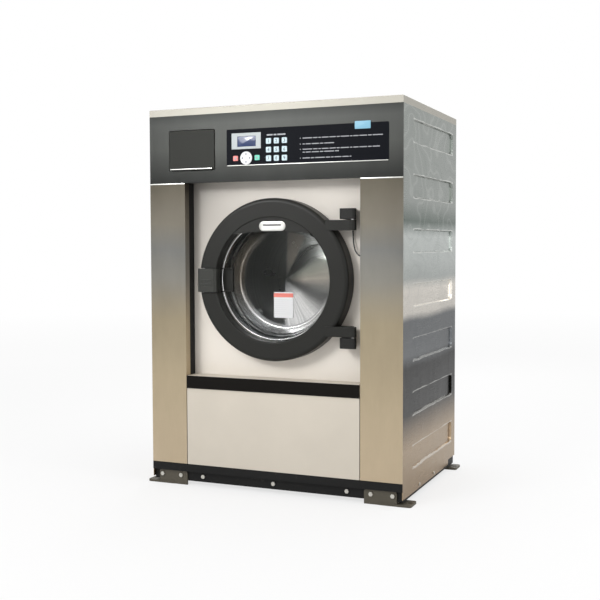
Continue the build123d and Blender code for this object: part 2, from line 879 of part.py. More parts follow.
# ---------------------------------------------------------------- detergent drawer
def make_drawer():
    """Face with a pull lip, and a tray of three bays behind it."""
    face = sheet_y(drawer_outline(0), drawer_face_y, tray_front_y)
    face = fillet(face.edges().group_by(Axis.Y)[0], drawer_edge)
    lip_y0 = drawer_face_y - lip_proud
    lip_x0, lip_x1 = drawer_left + lip_in, drawer_right - lip_in
    lip = block(lip_x0, lip_x1, lip_y0, drawer_face_y, drawer_bottom, drawer_bottom + lip_height)
    lip = fillet(lip.edges().filter_by(Axis.X).group_by(Axis.Y)[0], lip_edge)
    x0, x1 = drawer_left + tray_side, drawer_right - tray_side
    y0, y1 = tray_front_y, tray_front_y + tray_depth
    rim = tray_floor + tray_height
    tray = block(x0, x1, y0, y1, tray_floor, rim)
    bay = (x1 - x0 - (bay_count + 1) * tray_wall) / bay_count
    for index in range(bay_count):
        left = x0 + tray_wall + index * (bay + tray_wall)
        inner_y0, inner_y1 = y0 + tray_wall, y1 - tray_wall
        tray -= block(left, left + bay, inner_y0, inner_y1, tray_floor + tray_wall, rim + cut_through)
    return face + lip + tray


def make_dispenser():
    """Housing of the drawer, open at the front, with a runner under each side of the tray."""
    y0, y1, wall = box_front_y, box_back_y, box_wall
    x0, x1 = drawer_left - box_side_room, drawer_right + box_side_room
    z0, z1 = box_bottom, drawer_top + box_room + box_wall
    shell = block(x0, x1, y0, y1, z0, z1)
    shell -= block(x0 + wall, x1 - wall, y0 - cut_through, y1 - wall, z0 + wall, z1 - wall)
    runner_y0 = tray_front_y + cut_through
    for left in (drawer_left, drawer_right - runner_width):
        shell += block(left, left + runner_width, runner_y0, y1 - wall, z0 + wall, runner_top)
    return shell


# ---------------------------------------------------------------- door
def bowl_wall_r(y):
    """Outer radius of the glass bowl's wall at a depth."""
    slope = bowl_taper / (bowl_end_y - glass_back_y)
    return aperture_r - slope * (y - glass_back_y)


def ring_section():
    """Half section of the ring casting: rolled rim, glass seat and the groove in its back."""
    pocket_r = glass_flange_r + seal_wall + rest_gap
    groove_floor = ring_back_y - groove_depth
    profile = make_face(
        Polyline(
            (aperture_r, ring_front_y),
            (ring_r, ring_front_y),
            (ring_r, ring_back_y),
            (groove_outer, ring_back_y),
            (groove_outer, groove_floor),
            (groove_inner, groove_floor),
            (groove_inner, retainer_front_y),
            (pocket_r, retainer_front_y),
            (pocket_r, glass_seat_y),
            (aperture_r, glass_seat_y),
            close=True,
        )
    )
    profile = fillet(profile.vertices().group_by(Axis.Y)[0].sort_by(Axis.X)[-1], ring_edge)
    return fillet(profile.vertices().group_by(Axis.Y)[0].sort_by(Axis.X)[0], ring_inner_edge)


def make_door_ring():
    """Ring with its hinge arms, the web across its top and the finger cup behind the handle."""
    ring = Pos(0, 0, axis_z) * revolve(ring_section(), axis=Axis.Y)
    step = 360 / groove_rib_count
    half = groove_rib / 2
    y0, y1 = ring_back_y - groove_depth, ring_back_y - ring_gap
    rib = block(groove_inner - cut_through, groove_outer + cut_through, y0, y1, -half, half)
    ribs = [about_axis((index + 0.5) * step) * rib for index in range(groove_rib_count)]
    arms = [make_arm(z) for z in (upper_arm_z, lower_arm_z)]
    ring = ring.fuse(*ribs, *arms, make_web(), make_guard())
    pocket_z0, pocket_z1 = handle_z0 - handle_side_gap, handle_z1 + handle_side_gap
    pocket_x0, pocket_x1 = -ring_r - handle_heel, -ring_r + handle_in + handle_side_gap
    pocket_y = ring_front_y + handle_pocket
    cuts = [block(pocket_x0, pocket_x1, ring_front_y - cut_through, pocket_y, pocket_z0, pocket_z1)]
    pin_z0, pin_z1 = handle_z0 - handle_pin_reach - fold_gap, handle_z1 + handle_pin_reach + fold_gap
    cuts.append(rod_z(handle_pin_r + press_fit, pin_z0, pin_z1, handle_pivot_x, handle_pivot_y))
    for z in (upper_arm_z, lower_arm_z):
        cuts.append(rod_z(pin_r + press_fit, z - arm_height, z + arm_height, hinge_x, hinge_y))
    bore_y0 = retainer_front_y - retainer_screw_depth - cut_through
    bore = rod_y(retainer_screw_r, bore_y0, retainer_front_y + cut_through)
    cuts += [place * bore for place in retainer_screw_places()]
    return ring.cut(*cuts)


def make_arm(z):
    """A hinge arm from the ring to its knuckle."""
    y0 = hinge_y - arm_front
    z0, z1 = z - arm_height / 2, z + arm_height / 2
    bar = block(ring_r - arm_root_in, hinge_x, y0, y0 + arm_front + arm_depth, z0, z1)
    bar = fillet(bar.edges().filter_by(Axis.Z).sort_by(Axis.X)[-2:].sort_by(Axis.Y)[-1], arm_corner)
    arm = bar + rod_z(knuckle_r, z0, z1, hinge_x, hinge_y)
    clear_r = aperture_r + panel_opening_room
    return arm - rod_y(clear_r, y0 - cut_through, ring_back_y + cut_through, 0, axis_z)


def make_web():
    """The plate across the top of the aperture, with a gently arched lower edge."""
    edge_r = aperture_r + cut_through
    end_rise = aperture_r - web_end_drop
    half = math.sqrt(edge_r**2 - end_rise**2)
    left, right = (-half, axis_z + end_rise), (half, axis_z + end_rise)
    arch = ThreePointArc(left, (0, axis_z + aperture_r - web_crown_drop), right)
    rim = ThreePointArc(right, (0, axis_z + edge_r), left)
    y0 = ring_front_y + web_sink
    return sheet_y(make_face(arch + rim), y0, y0 + web_thickness)


def make_guard():
    """Finger cup between the handle and the glass."""
    y0, y1 = glass_seat_y - guard_lip, glass_front_y + guard_wall
    inner, outer = aperture_r - guard_reach, aperture_r + cut_through
    wall = guard_wall
    cup = block(-outer, -inner, y0, y1, handle_z0, handle_z1)
    inside_y0 = y0 - cut_through
    cup -= block(wall - outer, -inner - wall, inside_y0, y1 - wall, handle_z0 + wall, handle_z1 - wall)
    keep = turned(
        [
            (0, inside_y0),
            (outer, inside_y0),
            (outer, glass_seat_y),
            (bowl_rim_r - rest_gap, glass_seat_y),
            (bowl_rim_r - guard_wall, y1 + cut_through),
            (0, y1 + cut_through),
        ]
    )
    return cup & keep


def retainer_screw_places():
    step = 360 / retainer_screw_count
    return [
        about_axis((index + 0.5) * step) * Pos(retainer_screw_pcr, 0, 0)
        for index in range(retainer_screw_count)
    ]


def make_door_glass():
    """Pressed bowl with a flat flange."""
    wall = glass_thickness
    outer_corner, inner_corner = (bowl_end_r, bowl_end_y), (bowl_end_r - wall, bowl_end_y - wall)
    profile = make_face(
        Polyline(
            (aperture_r, glass_back_y),
            outer_corner,
            (0, bowl_end_y),
            (0, bowl_end_y - wall),
            inner_corner,
            (bowl_rim_r, glass_front_y),
            (glass_flange_r, glass_front_y),
            (glass_flange_r, glass_back_y),
            close=True,
        )
    )
    profile = fillet(profile.vertices().sort_by_distance(Vector(*outer_corner))[0], bowl_corner)
    profile = fillet(profile.vertices().sort_by_distance(Vector(*inner_corner))[0], bowl_corner - wall)
    return Pos(0, 0, axis_z) * revolve(profile, axis=Axis.Y)


def make_glass_seal():
    """Channel of rubber round the flange of the glass."""
    lip_r, back_lip_r = aperture_r + seal_lap, aperture_r + 2 * seal_lap
    outer_r = glass_flange_r + seal_wall
    channel_r = glass_flange_r + rest_gap / 2
    return turned(
        [
            (lip_r, glass_seat_y),
            (outer_r, glass_seat_y),
            (outer_r, retainer_front_y),
            (back_lip_r, retainer_front_y),
            (back_lip_r, glass_back_y),
            (channel_r, glass_back_y),
            (channel_r, glass_front_y),
            (lip_r, glass_front_y),
        ]
    )


def make_glass_retainer():
    inner = aperture_r + retainer_lap
    y0, y1 = retainer_front_y, retainer_back_y
    ring = turned([(inner, y0), (retainer_r, y0), (retainer_r, y1), (inner, y1)])
    hole = rod_y(retainer_screw_r + screw_gap, y0 - cut_through, y1 + cut_through)
    return ring.cut(*[place * hole for place in retainer_screw_places()])


def make_retainer_screws():
    shank_y0 = retainer_front_y - retainer_screw_depth
    shank = rod_y(retainer_screw_r - press_fit, shank_y0, retainer_back_y)
    head = rod_y(retainer_head_r, retainer_back_y, retainer_back_y + retainer_head)
    return [place * (shank + head) for place in retainer_screw_places()]


def make_door_pins():
    """Hinge pins pressed into the arms, and the pin of the handle."""
    half = arm_height / 2
    reach = half + block_gap + block_height - pin_end_room
    top, low = upper_arm_z, lower_arm_z
    handle_pin_z0, handle_pin_z1 = handle_z0 - handle_pin_reach, handle_z1 + handle_pin_reach
    return [
        rod_z(pin_r, top - half + pin_sink, top + reach, hinge_x, hinge_y),
        rod_z(pin_r, low - reach, low + half - pin_sink, hinge_x, hinge_y),
        rod_z(handle_pin_r, handle_pin_z0, handle_pin_z1, handle_pivot_x, handle_pivot_y),
    ]


def make_hinge_brackets():
    """Two blocks on the door panel, above the upper arm and below the lower one."""
    upper_z0 = upper_arm_z + arm_height / 2 + block_gap
    lower_z0 = lower_arm_z - arm_height / 2 - block_gap - block_height
    brackets = []
    for z0 in (upper_z0, lower_z0):
        z1 = z0 + block_height
        x0, x1 = hinge_x - block_length, hinge_x + knuckle_r
        foot_x1 = hinge_x - block_foot_in
        section = [
            (x0, panel_y),
            (x0, hinge_y - knuckle_r),
            (x1, hinge_y - knuckle_r),
            (x1, hinge_y),
            (foot_x1, panel_y),
        ]
        body = column(section, z0, z1)
        body = fillet(body.edges().filter_by(Axis.Z).group_by(Axis.Y)[0], knuckle_r - block_land)
        brackets.append(body - rod_z(pin_r + pin_fit, z0 - cut_through, z1 + cut_through, hinge_x, hinge_y))
    return brackets


def make_door_handle():
    """Pull with a bevelled face, two grip ribs and a hub for its pin."""
    z0, z1 = handle_z0, handle_z1
    face_y = ring_front_y - handle_proud
    grip_back = ring_front_y + handle_pocket - handle_pocket_gap
    outer, inner = -ring_r - handle_out, -ring_r + handle_in
    heel_back = handle_pivot_y - handle_pocket_gap / 2
    half_hub = handle_hub_r - cut_through
    section = Polyline(
        (inner, grip_back),
        (handle_pivot_x + half_hub, grip_back),
        (handle_pivot_x - half_hub, heel_back),
        (outer, heel_back),
        (outer, face_y + handle_bevel),
        (outer + handle_bevel, face_y),
        (inner - handle_bevel, face_y),
        (inner, face_y + handle_bevel),
        close=True,
    )
    body = Pos(0, 0, z0) * extrude(make_face(section), amount=z1 - z0)
    body = fillet(body.edges().filter_by(Axis.Z).group_by(Axis.Y)[0], handle_edge)
    body += rod_z(handle_hub_r, z0, z1, handle_pivot_x, handle_pivot_y)
    half, rise = handle_rib_half, handle_rib_rise
    for drop in handle_rib_drops:
        z = axis_z - drop
        rib_x0, rib_x1 = outer + handle_rib_in, inner - handle_rib_in
        rib = block(rib_x0, rib_x1, face_y - rise, face_y + rise, z - half, z + half)
        body += fillet(rib.edges().filter_by(Axis.X).group_by(Axis.Y)[0], handle_rib_edge)
    bore = rod_z(handle_pin_r + pin_fit, z0 - cut_through, z1 + cut_through, handle_pivot_x, handle_pivot_y)
    return body - bore


# ---------------------------------------------------------------- door lock
def make_lock_hook():
    """Foot on the retainer and a plate with an eye that enters the lock."""
    half_foot, half = hook_foot_height / 2, hook_height / 2
    foot_x0, foot_x1 = hook_x - hook_foot_out, hook_x + hook_foot_in
    foot = block(foot_x0, foot_x1, retainer_back_y, hook_front_y, hook_z - half_foot, hook_z + half_foot)
    x0, x1 = hook_x - hook_plate / 2, hook_x + hook_plate / 2
    plate = block(x0, x1, hook_front_y, hook_back_y, hook_z - half, hook_z + half)
    plate = fillet(plate.edges().filter_by(Axis.X).group_by(Axis.Y)[-1], hook_corner)
    return foot + plate - rod_x(hook_eye_r, x0 - cut_through, x1 + cut_through, eye_y, hook_z)


def make_door_lock():
    """Lock case behind the door panel, with a throat for the hook and a guide for the bolt."""
    y0, y1 = panel_y + skin, tub_front_y - tub_wall - cut_through
    x0, x1 = hook_x - lock_out, hook_x + lock_in
    case = block(x0, x1, y0, y1, hook_z - lock_low, hook_z + lock_high)
    case = fillet(case.edges().filter_by(Axis.Z).sort_by(Axis.Y)[-2:], lock_corner)
    half_x, half_z = hook_plate / 2 + throat_side, hook_height / 2 + throat_end
    throat_x0, throat_x1 = hook_x - half_x, hook_x + half_x
    floor = y1 - lock_floor
    throat = block(throat_x0, throat_x1, y0 - cut_through, floor, hook_z - half_z, hook_z + half_z)
    guide = rod_x(bolt_r + pin_fit, x0 + guide_end_room, hook_x, eye_y, hook_z)
    catch = rod_x(bolt_r + screw_gap, hook_x, x1 + cut_through, eye_y, hook_z)
    return case.cut(throat, guide, catch) + rod_x(coil_r, x0 - coil_length, x0, eye_y, hook_z)


def make_lock_bolt():
    tip = hook_x - hook_plate / 2 - bolt_setback
    bar = rod_x(bolt_r, tip - bolt_length, tip, eye_y, hook_z)
    return chamfer(bar.edges().group_by(Axis.X)[-1], bolt_chamfer)


# ---------------------------------------------------------------- tub
def make_tub_shell():
    outer_r, inner_r, hole_r = tub_r + tub_flange, tub_r - tub_wall, shaft_r + tub_hole_room
    flange_y = tub_front_y + tub_wall
    return turned(
        [
            (tub_r, tub_front_y),
            (outer_r, tub_front_y),
            (outer_r, flange_y),
            (tub_r, flange_y),
            (tub_r, tub_rear_y),
            (hole_r, tub_rear_y),
            (hole_r, tub_back_y),
            (inner_r, tub_back_y),
            (inner_r, tub_front_y),
        ]
    )


def make_tub_front():
    y0, y1 = tub_front_y - tub_wall, tub_front_y
    return turned(
        [
            (mouth_r, y0 - mouth_collar),
            (mouth_r + tub_wall, y0 - mouth_collar),
            (mouth_r + tub_wall, y0),
            (tub_r + tub_flange, y0),
            (tub_r + tub_flange, y1),
            (mouth_r, y1),
        ]
    )


def make_tub_seal():
    """Rubber sleeve on the mouth's collar, with a lip that follows the glass."""
    y_face = panel_y + skin + seal_face
    y_lip = y_face + seal_lip
    y_foot = tub_front_y - tub_wall - rest_gap
    y_collar = tub_front_y - tub_wall - mouth_collar - rest_gap
    sleeve_r = mouth_r + tub_wall + rest_gap
    outer_r = sleeve_r + sleeve_wall + sleeve_bulge
    return turned(
        [
            (bowl_wall_r(y_face) + seal_gap, y_face),
            (outer_r, y_face),
            (outer_r, y_foot),
            (sleeve_r, y_foot),
            (sleeve_r, y_collar),
            (outer_r - sleeve_wall, y_collar),
            (outer_r - sleeve_wall, y_lip + seal_lip_edge),
            (bowl_wall_r(y_lip) + seal_gap, y_lip),
        ]
    )


def make_bearing_housing():
    y0 = tub_rear_y
    return turned(
        [
            (bearing_outer_r, y0),
            (housing_flange_r, y0),
            (housing_flange_r, y0 + housing_flange),
            (housing_r + housing_step, y0 + housing_cone),
            (housing_r, housing_end_y),
            (bearing_outer_r, housing_end_y),
        ]
    )


def make_bearing_set():
    """Two bearings and the shaft seal in front of them."""
    outer = bearing_outer_r - press_fit
    rings = []
    for y, width, room in (
        (tub_rear_y + shaft_seal_set, shaft_seal_width, rest_gap),
        (tub_rear_y + front_bearing_set, bearing_width, pin_fit),
        (housing_end_y - rear_bearing_set - bearing_width, bearing_width, pin_fit),
    ):
        inner = shaft_r + room
        rings.append(turned([(inner, y), (outer, y), (outer, y + width), (inner, y + width)]))
    return rings


# ---------------------------------------------------------------- drum
def make_drum_basket():
    """Dished front, cylinder, and a back with its middle pressed forward over the hub."""
    wall = drum_wall
    shoulder_y = drum_lip_y + drum_dish
    inner_r = drum_r - drum_shoulder
    return turned(
        [
            (drum_mouth_r, drum_lip_y),
            (inner_r, shoulder_y),
            (drum_r, shoulder_y + drum_shoulder),
            (drum_r, drum_back_y),
            (hub_dish_r, drum_back_y),
            (hub_flat_r, hub_face_y),
            (0, hub_face_y),
            (0, hub_face_y - wall),
            (hub_flat_r, hub_face_y - wall),
            (hub_dish_r, drum_back_y - wall),
            (drum_r - wall, drum_back_y - wall),
            (drum_r - wall, shoulder_y + drum_shoulder + wall / 2),
            (inner_r - wall / 2, shoulder_y + wall),
            (drum_mouth_r, drum_lip_y + wall),
        ]
    )


def make_drum_lifters():
    seat_r = drum_r - drum_wall - rest_gap
    tip_r = drum_r - lifter_height
    foot_r = seat_r + lifter_bevel
    base, tip, bevel = lifter_half_base, lifter_half_tip, lifter_bevel
    outline = Polyline(
        (foot_r, -base),
        (foot_r, base),
        (tip_r + bevel, tip),
        (tip_r, tip - bevel),
        (tip_r, bevel - tip),
        (tip_r + bevel, -tip),
        close=True,
    )
    y0 = drum_lip_y + drum_dish + lifter_clear
    y1 = drum_back_y - drum_wall - lifter_clear
    prism = sheet_y(make_face(outline), y0, y1)
    prism &= rod_y(seat_r, y0 - cut_through, y1 + cut_through)
    return [about_axis(-90 - index * 360 / lifter_count) * prism for index in range(lifter_count)]


def make_drum_shaft():
    """Shaft and the three-armed spider that carries the drum."""
    y0, y1 = drum_back_y, drum_back_y + spider_depth
    hub_r = shaft_r + spider_hub
    shaft = turned(
        [
            (0, hub_face_y),
            (hub_r, hub_face_y),
            (hub_r, y1),
            (shaft_r, y1),
            (shaft_r, shaft_end_y),
            (0, shaft_end_y),
        ]
    )
    reach = drum_r - spider_in
    outline = Polyline(
        (0, -spider_arm / 2),
        (reach, -spider_arm / 3),
        (reach, spider_arm / 3),
        (0, spider_arm / 2),
        close=True,
    )
    arm = sheet_y(make_face(outline), y0, y1)
    return shaft.fuse(*[about_axis(-30 - index * 120) * arm for index in range(3)])


# ---------------------------------------------------------------- drive
def groove_middles():
    start = (pulley_front_y + pulley_back_y) / 2 - groove_pitch * (belt_count - 1) / 2
    return [start + groove_pitch * index for index in range(belt_count)]


def pulley_rim(radius, inner):
    """Points of a rim's section, with a V groove for each belt."""
    half_top = belt_top / 2 + groove_room
    half_bottom = belt_bottom / 2 + groove_room
    floor_r = radius - belt_height - groove_deeper
    points = [(inner, pulley_front_y), (radius, pulley_front_y)]
    for y in groove_middles():
        points += [(radius, y - half_top), (floor_r, y - half_bottom)]
        points += [(floor_r, y + half_bottom), (radius, y + half_top)]
    return points + [(radius, pulley_back_y), (inner, pulley_back_y)]


def make_drum_pulley():
    rim_inner = pulley_r - pulley_rim_depth
    middle = (pulley_front_y + pulley_back_y) / 2
    y0, y1 = middle - pulley_web / 2, middle + pulley_web / 2
    web_r0, web_r1 = pulley_hub_r - cut_through, rim_inner + cut_through
    web = turned([(web_r0, y0), (web_r1, y0), (web_r1, y1), (web_r0, y1)])
    bore_r = shaft_r + press_fit
    front, back = pulley_front_y, pulley_back_y
    hub = turned([(bore_r, front), (pulley_hub_r, front), (pulley_hub_r, back), (bore_r, back)])
    pulley = turned(pulley_rim(pulley_r, rim_inner)).fuse(web, hub)
    step = 360 / pulley_hole_count
    hole = Pos(pulley_hole_pcr, 0, 0) * rod_y(pulley_hole_r, y0 - cut_through, y1 + cut_through)
    return pulley.cut(*[about_axis(index * step) * hole for index in range(pulley_hole_count)])


def make_motor_pulley():
    """Pulley and the motor's shaft end that carries it."""
    wheel = turned(pulley_rim(motor_pulley_r, 0), motor_z, motor_x)
    shaft_y0 = motor_back_y - motor_shaft_depth
    return wheel + rod_y(motor_shaft_r, shaft_y0, pulley_front_y + cut_through, motor_x, motor_z)


def belt_loop(lift, y0, y1):
    """The taut outline round both pulleys, between two depths."""
    big = Pos(0, axis_z) * Circle(pulley_r + lift)
    small = Pos(motor_x, motor_z) * Circle(motor_pulley_r + lift)
    return sheet_y(make_hull([*big.edges(), *small.edges()]), y0, y1)


def make_drive_belts():
    half = (belt_top + belt_bottom) / 4
    belts = []
    for y in groove_middles():
        outer = belt_loop(belt_lift, y - half, y + half)
        inner = belt_loop(belt_lift - belt_height, y - half - cut_through, y + half + cut_through)
        belts.append(outer - inner)
    return belts


def make_motor_body():
    """Finned frame on two feet, with its terminal box on top."""
    y0, y1 = motor_front_y, motor_back_y
    body = rod_y(motor_core_r, y0, y1, motor_x, motor_z)
    half = motor_fin / 2
    fin = block(motor_core_r - cut_through, motor_r, y0 + motor_end, y1 - motor_end, -half, half)
    turn = 360 / motor_fins
    extras = [Pos(motor_x, 0, motor_z) * Rot(0, (index + 0.5) * turn, 0) * fin for index in range(motor_fins)]
    foot_x0, foot_x1 = motor_x - motor_foot_half, motor_x + motor_foot_half
    foot_top = motor_z - motor_core_r + motor_foot_rise
    for y in (y0 + motor_end, y1 - motor_foot_in):
        extras.append(block(foot_x0, foot_x1, y, y + motor_foot, frame_top, foot_top))
    x0, x1 = motor_x - terminal_half, motor_x + terminal_half
    terminal_top = motor_z + terminal_height
    extras.append(block(x0, x1, y0 + terminal_end, y1 - terminal_end, motor_z, terminal_top))
    shaft_y0 = y1 - motor_shaft_depth - cut_through
    return body.fuse(*extras) - rod_y(motor_shaft_r + pin_fit, shaft_y0, y1 + cut_through, motor_x, motor_z)


def make_inverter_box():
    """Drive electronics in a closed case with cooling fins on its outer side."""
    y0 = front_cross_y + rail_width / 2 + inverter_room
    y1 = rear_cross_y - rail_width / 2 - inverter_room
    x0 = inverter_side_room - half_width
    top = frame_top + inverter_height
    body = block(x0, x0 + inverter_width, y0, y1, frame_top, top)
    body = fillet(body.edges().filter_by(Axis.Z), inverter_corner)
    z0, z1 = frame_top + inverter_fin_room, top - inverter_fin_room
    pitch = (y1 - y0 - 2 * inverter_corner - inverter_fin) / (inverter_fins - 1)
    fins = []
    for index in range(inverter_fins):
        y = y0 + inverter_corner + index * pitch
        fins.append(block(x0 - inverter_fin_depth, x0 + cut_through, y, y + inverter_fin, z0, z1))
    return body.fuse(*fins)


# ---------------------------------------------------------------- water, drain and mains
def make_drain_valve():
    """Sump pipe, motorised valve body and the outlet pipe to the back."""
    y = cross_middle_y
    cradle = tub_r + rest_gap
    half = valve_half_depth
    pipe = rod_z(sump_r, drain_z, axis_z - cradle + sump_overlap, 0, y)
    pipe -= rod_y(cradle, y - half, y + half, 0, axis_z)
    low, high = drain_z - valve_low, drain_z + valve_high
    body = block(-valve_half_width, valve_half_width, y - half, y + half, low, high)
    body = fillet(body.edges(), valve_corner)
    spigot_y0, spigot_y1 = back_y + rest_gap, back_y + rest_gap + drain_spigot
    outlet = rod_y(drain_pipe_r, y, spigot_y0, 0, drain_z)
    outlet += rod_y(drain_spigot_r, spigot_y0, spigot_y1, 0, drain_z)
    bore_y0 = y + half + valve_floor
    bore = rod_y(drain_pipe_r - drain_wall, bore_y0, spigot_y1 + cut_through, 0, drain_z)
    return pipe.fuse(body, outlet) - bore


def make_inlet_valves():
    """Two solenoid valves behind the rear panel, with their threaded stubs outside it."""
    valves = []
    thread_y1 = inlet_thread_y + inlet_thread
    body_y0 = back_y - skin - inlet_body
    for x in inlet_x:
        valve = rod_y(inlet_body_r, body_y0, back_y - skin, x, service_z)
        valve += rod_y(inlet_neck_r, back_y - skin, inlet_thread_y, x, service_z)
        valve += rod_y(inlet_thread_r, inlet_thread_y, thread_y1, x, service_z)
        coil_x0, coil_x1 = x - inlet_coil_half, x + inlet_coil_half
        coil_y0, coil_y1 = body_y0 + inlet_coil_in / 2, back_y - inlet_coil_in
        valve += block(coil_x0, coil_x1, coil_y0, coil_y1, service_z, service_z + inlet_coil_height)
        bore_y0 = back_y - inlet_plug
        valves.append(valve - rod_y(inlet_bore_r, bore_y0, thread_y1 + cut_through, x, service_z))
    return valves


def make_water_hoses():
    """Two hoses from the valves to the drawer's housing, and one from there to the tub."""
    valve_front = back_y - skin - inlet_body
    hoses = [rod_y(hose_r, box_back_y, valve_front, x, service_z) for x in inlet_x]
    x = (drawer_left + 3 * drawer_right) / 4
    y = box_back_y - fill_hose_in
    fill = rod_z(fill_hose_r, axis_z + fill_hose_depth, box_bottom, x, y)
    fill -= rod_y(tub_r + rest_gap, y - 2 * fill_hose_r, y + 2 * fill_hose_r, 0, axis_z)
    return hoses + [fill]


def make_cable_gland():
    """Sleeve with a hexagon nut on each side of the rear panel."""
    y0, y1 = back_y - gland_inside, back_y + gland_out
    body = rod_y(gland_r, y0, y1, gland_x, service_z)
    nut = Pos(gland_x, 0, service_z) * sheet_y(RegularPolygon(gland_nut_r, 6), 0, gland_nut)
    body += Pos(0, back_y, 0) * nut
    body += Pos(0, back_y - skin - gland_nut, 0) * nut
    return body - rod_y(gland_bore_r, y0 - cut_through, y1 + cut_through, gland_x, service_z)


def make_sensor_cable():
    """Door switch cable, from the upper hinge block down into the side post."""
    top = upper_arm_z + arm_height / 2 + block_gap
    y = panel_y - cable_behind
    points = [
        (hinge_x - 16, y, top),
        (hinge_x - 16, y, top - 42),
        (hinge_x - 13, y - 2, top - 84),
        (hinge_x - 4, y - 7, top - 112),
        (hinge_x + 12, y - 12, top - 126),
        (post_x, y - 12, top - 126),
    ]
    route = FilletPolyline(*points, radius=(60, 60, 40, 18))
    profile = Plane(origin=points[0], z_dir=(0, 0, -1)) * Circle(cable_r)
    return sweep(profile, path=route)


# ---------------------------------------------------------------- the whole machine
def rear_holes():
    """Openings of the upper rear panel for the two inlets and the gland."""
    y0, y1 = back_y - bend_return, back_y + cut_through
    holes = [rod_y(inlet_neck_r + rest_gap, y0, y1, x, service_z) for x in inlet_x]
    return holes + [rod_y(gland_r + rest_gap, y0, y1, gland_x, service_z)]


def make_all():
    side = make_right_side_panel()
    lower_top = rear_split_z - skin
    drain_hole = rod_y(drain_pipe_r + skin, back_y - bend_return, back_y + cut_through, 0, drain_z)
    upper_cuts = rear_holes() + vent_cuts(fascia_top - upper_vent_drop)
    lower_cuts = [drain_hole] + vent_cuts(lower_top - lower_vent_drop)
    nodes = {
        "base_frame": make_base_frame(),
        "floor_brackets": make_floor_brackets(),
        "frame_bolts": make_frame_bolts(),
        "front_plinth": make_plinth(),
        "right_pillar": make_pillar(hinge_pillar_inner),
        "left_pillar": mirror(make_pillar(pillar_inner), about=Plane.YZ),
        "right_side_panel": side,
        "left_side_panel": mirror(side, about=Plane.YZ),
        "back_panel": make_back_panel(rear_split_z, fascia_top, upper_cuts),
        "rear_cover": make_back_panel(frame_top + rest_gap, lower_top, lower_cuts),
        "top_cover": make_top_cover(),
        "fascia": make_fascia(),
        "control_overlay": make_control_overlay(),
        "control_board": make_control_board(),
        "door_panel": make_door_panel(),
        "lower_panel": make_lower_panel(),
        "trim_strip": make_trim_strip(),
        "dispenser_box": make_dispenser(),
        "detergent_drawer": make_drawer(),
        "door_ring": make_door_ring(),
        "door_glass": make_door_glass(),
        "glass_seal": make_glass_seal(),
        "glass_retainer": make_glass_retainer(),
        "retainer_screws": make_retainer_screws(),
        "door_pins": make_door_pins(),
        "lock_hook": make_lock_hook(),
        "door_handle": make_door_handle(),
        "hinge_brackets": make_hinge_brackets(),
        "door_lock": make_door_lock(),
        "lock_bolt": make_lock_bolt(),
        "tub_shell": make_tub_shell(),
        "tub_front": make_tub_front(),
        "tub_seal": make_tub_seal(),
        "bearing_housing": make_bearing_housing(),
        "bearing_set": make_bearing_set(),
        "drum_basket": make_drum_basket(),
        "drum_lifters": make_drum_lifters(),
        "drum_shaft": make_drum_shaft(),
        "drum_pulley": make_drum_pulley(),
        "motor_pulley": make_motor_pulley(),
        "drive_belts": make_drive_belts(),
        "motor_body": make_motor_body(),
        "inverter_box": make_inverter_box(),
        "drain_valve": make_drain_valve(),
        "inlet_valves": make_inlet_valves(),
        "water_hoses": make_water_hoses(),
        "cable_gland": make_cable_gland(),
        "sensor_cable": make_sensor_cable(),
    }
    for name, x, z, form in key_places():
        nodes[name] = make_key(x, z, form)
    return nodes


os.makedirs("parts", exist_ok=True)
for node_name, shape in make_all().items():
    solids = shape if isinstance(shape, list) else [shape]
    children = [solid for item in solids for solid in item.solids()]
    export_step(Compound(children=children), f"parts/{node_name}.step")
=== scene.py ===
# %% [markdown]
# # A front-loading washer-extractor, dressed for a studio picture
#
# The solids of the machine come from its CAD model and are loaded below as a fixed frame. This
# lesson gives each of them a finish made from nodes, adds the small pieces that a CAD model
# leaves out, such as badges, printed marks and screws, and sets up the light and the camera.
# Lengths are in metres. The front of the machine looks along -Y, and Z points up.

# %% Load the frame
import math

import bpy
from mathutils import Matrix, Vector


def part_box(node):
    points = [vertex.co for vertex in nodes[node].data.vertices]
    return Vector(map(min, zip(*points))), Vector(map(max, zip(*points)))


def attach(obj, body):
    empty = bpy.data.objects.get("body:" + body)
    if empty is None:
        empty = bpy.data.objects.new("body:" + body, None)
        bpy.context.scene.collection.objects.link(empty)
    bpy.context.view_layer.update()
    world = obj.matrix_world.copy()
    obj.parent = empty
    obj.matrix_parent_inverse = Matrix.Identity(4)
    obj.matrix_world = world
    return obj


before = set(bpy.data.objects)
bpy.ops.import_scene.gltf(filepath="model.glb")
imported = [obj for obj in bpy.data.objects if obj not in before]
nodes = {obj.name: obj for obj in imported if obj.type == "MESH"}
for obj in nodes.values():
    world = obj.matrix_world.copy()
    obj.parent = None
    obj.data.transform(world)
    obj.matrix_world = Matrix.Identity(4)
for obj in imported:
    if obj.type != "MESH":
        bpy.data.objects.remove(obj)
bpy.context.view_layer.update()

# %% [markdown]
# ## Camera
#
# The machine is seen from its right, a little above its door, through a lens of moderate length.
# The camera's turn is worked out from three angles instead of being aimed at an object, so the
# whole view can be turned by changing one number.

# %% The camera
scene = bpy.context.scene
camera_yaw, camera_pitch, camera_roll = (math.radians(a) for a in (23.08, -3.15, -0.15))

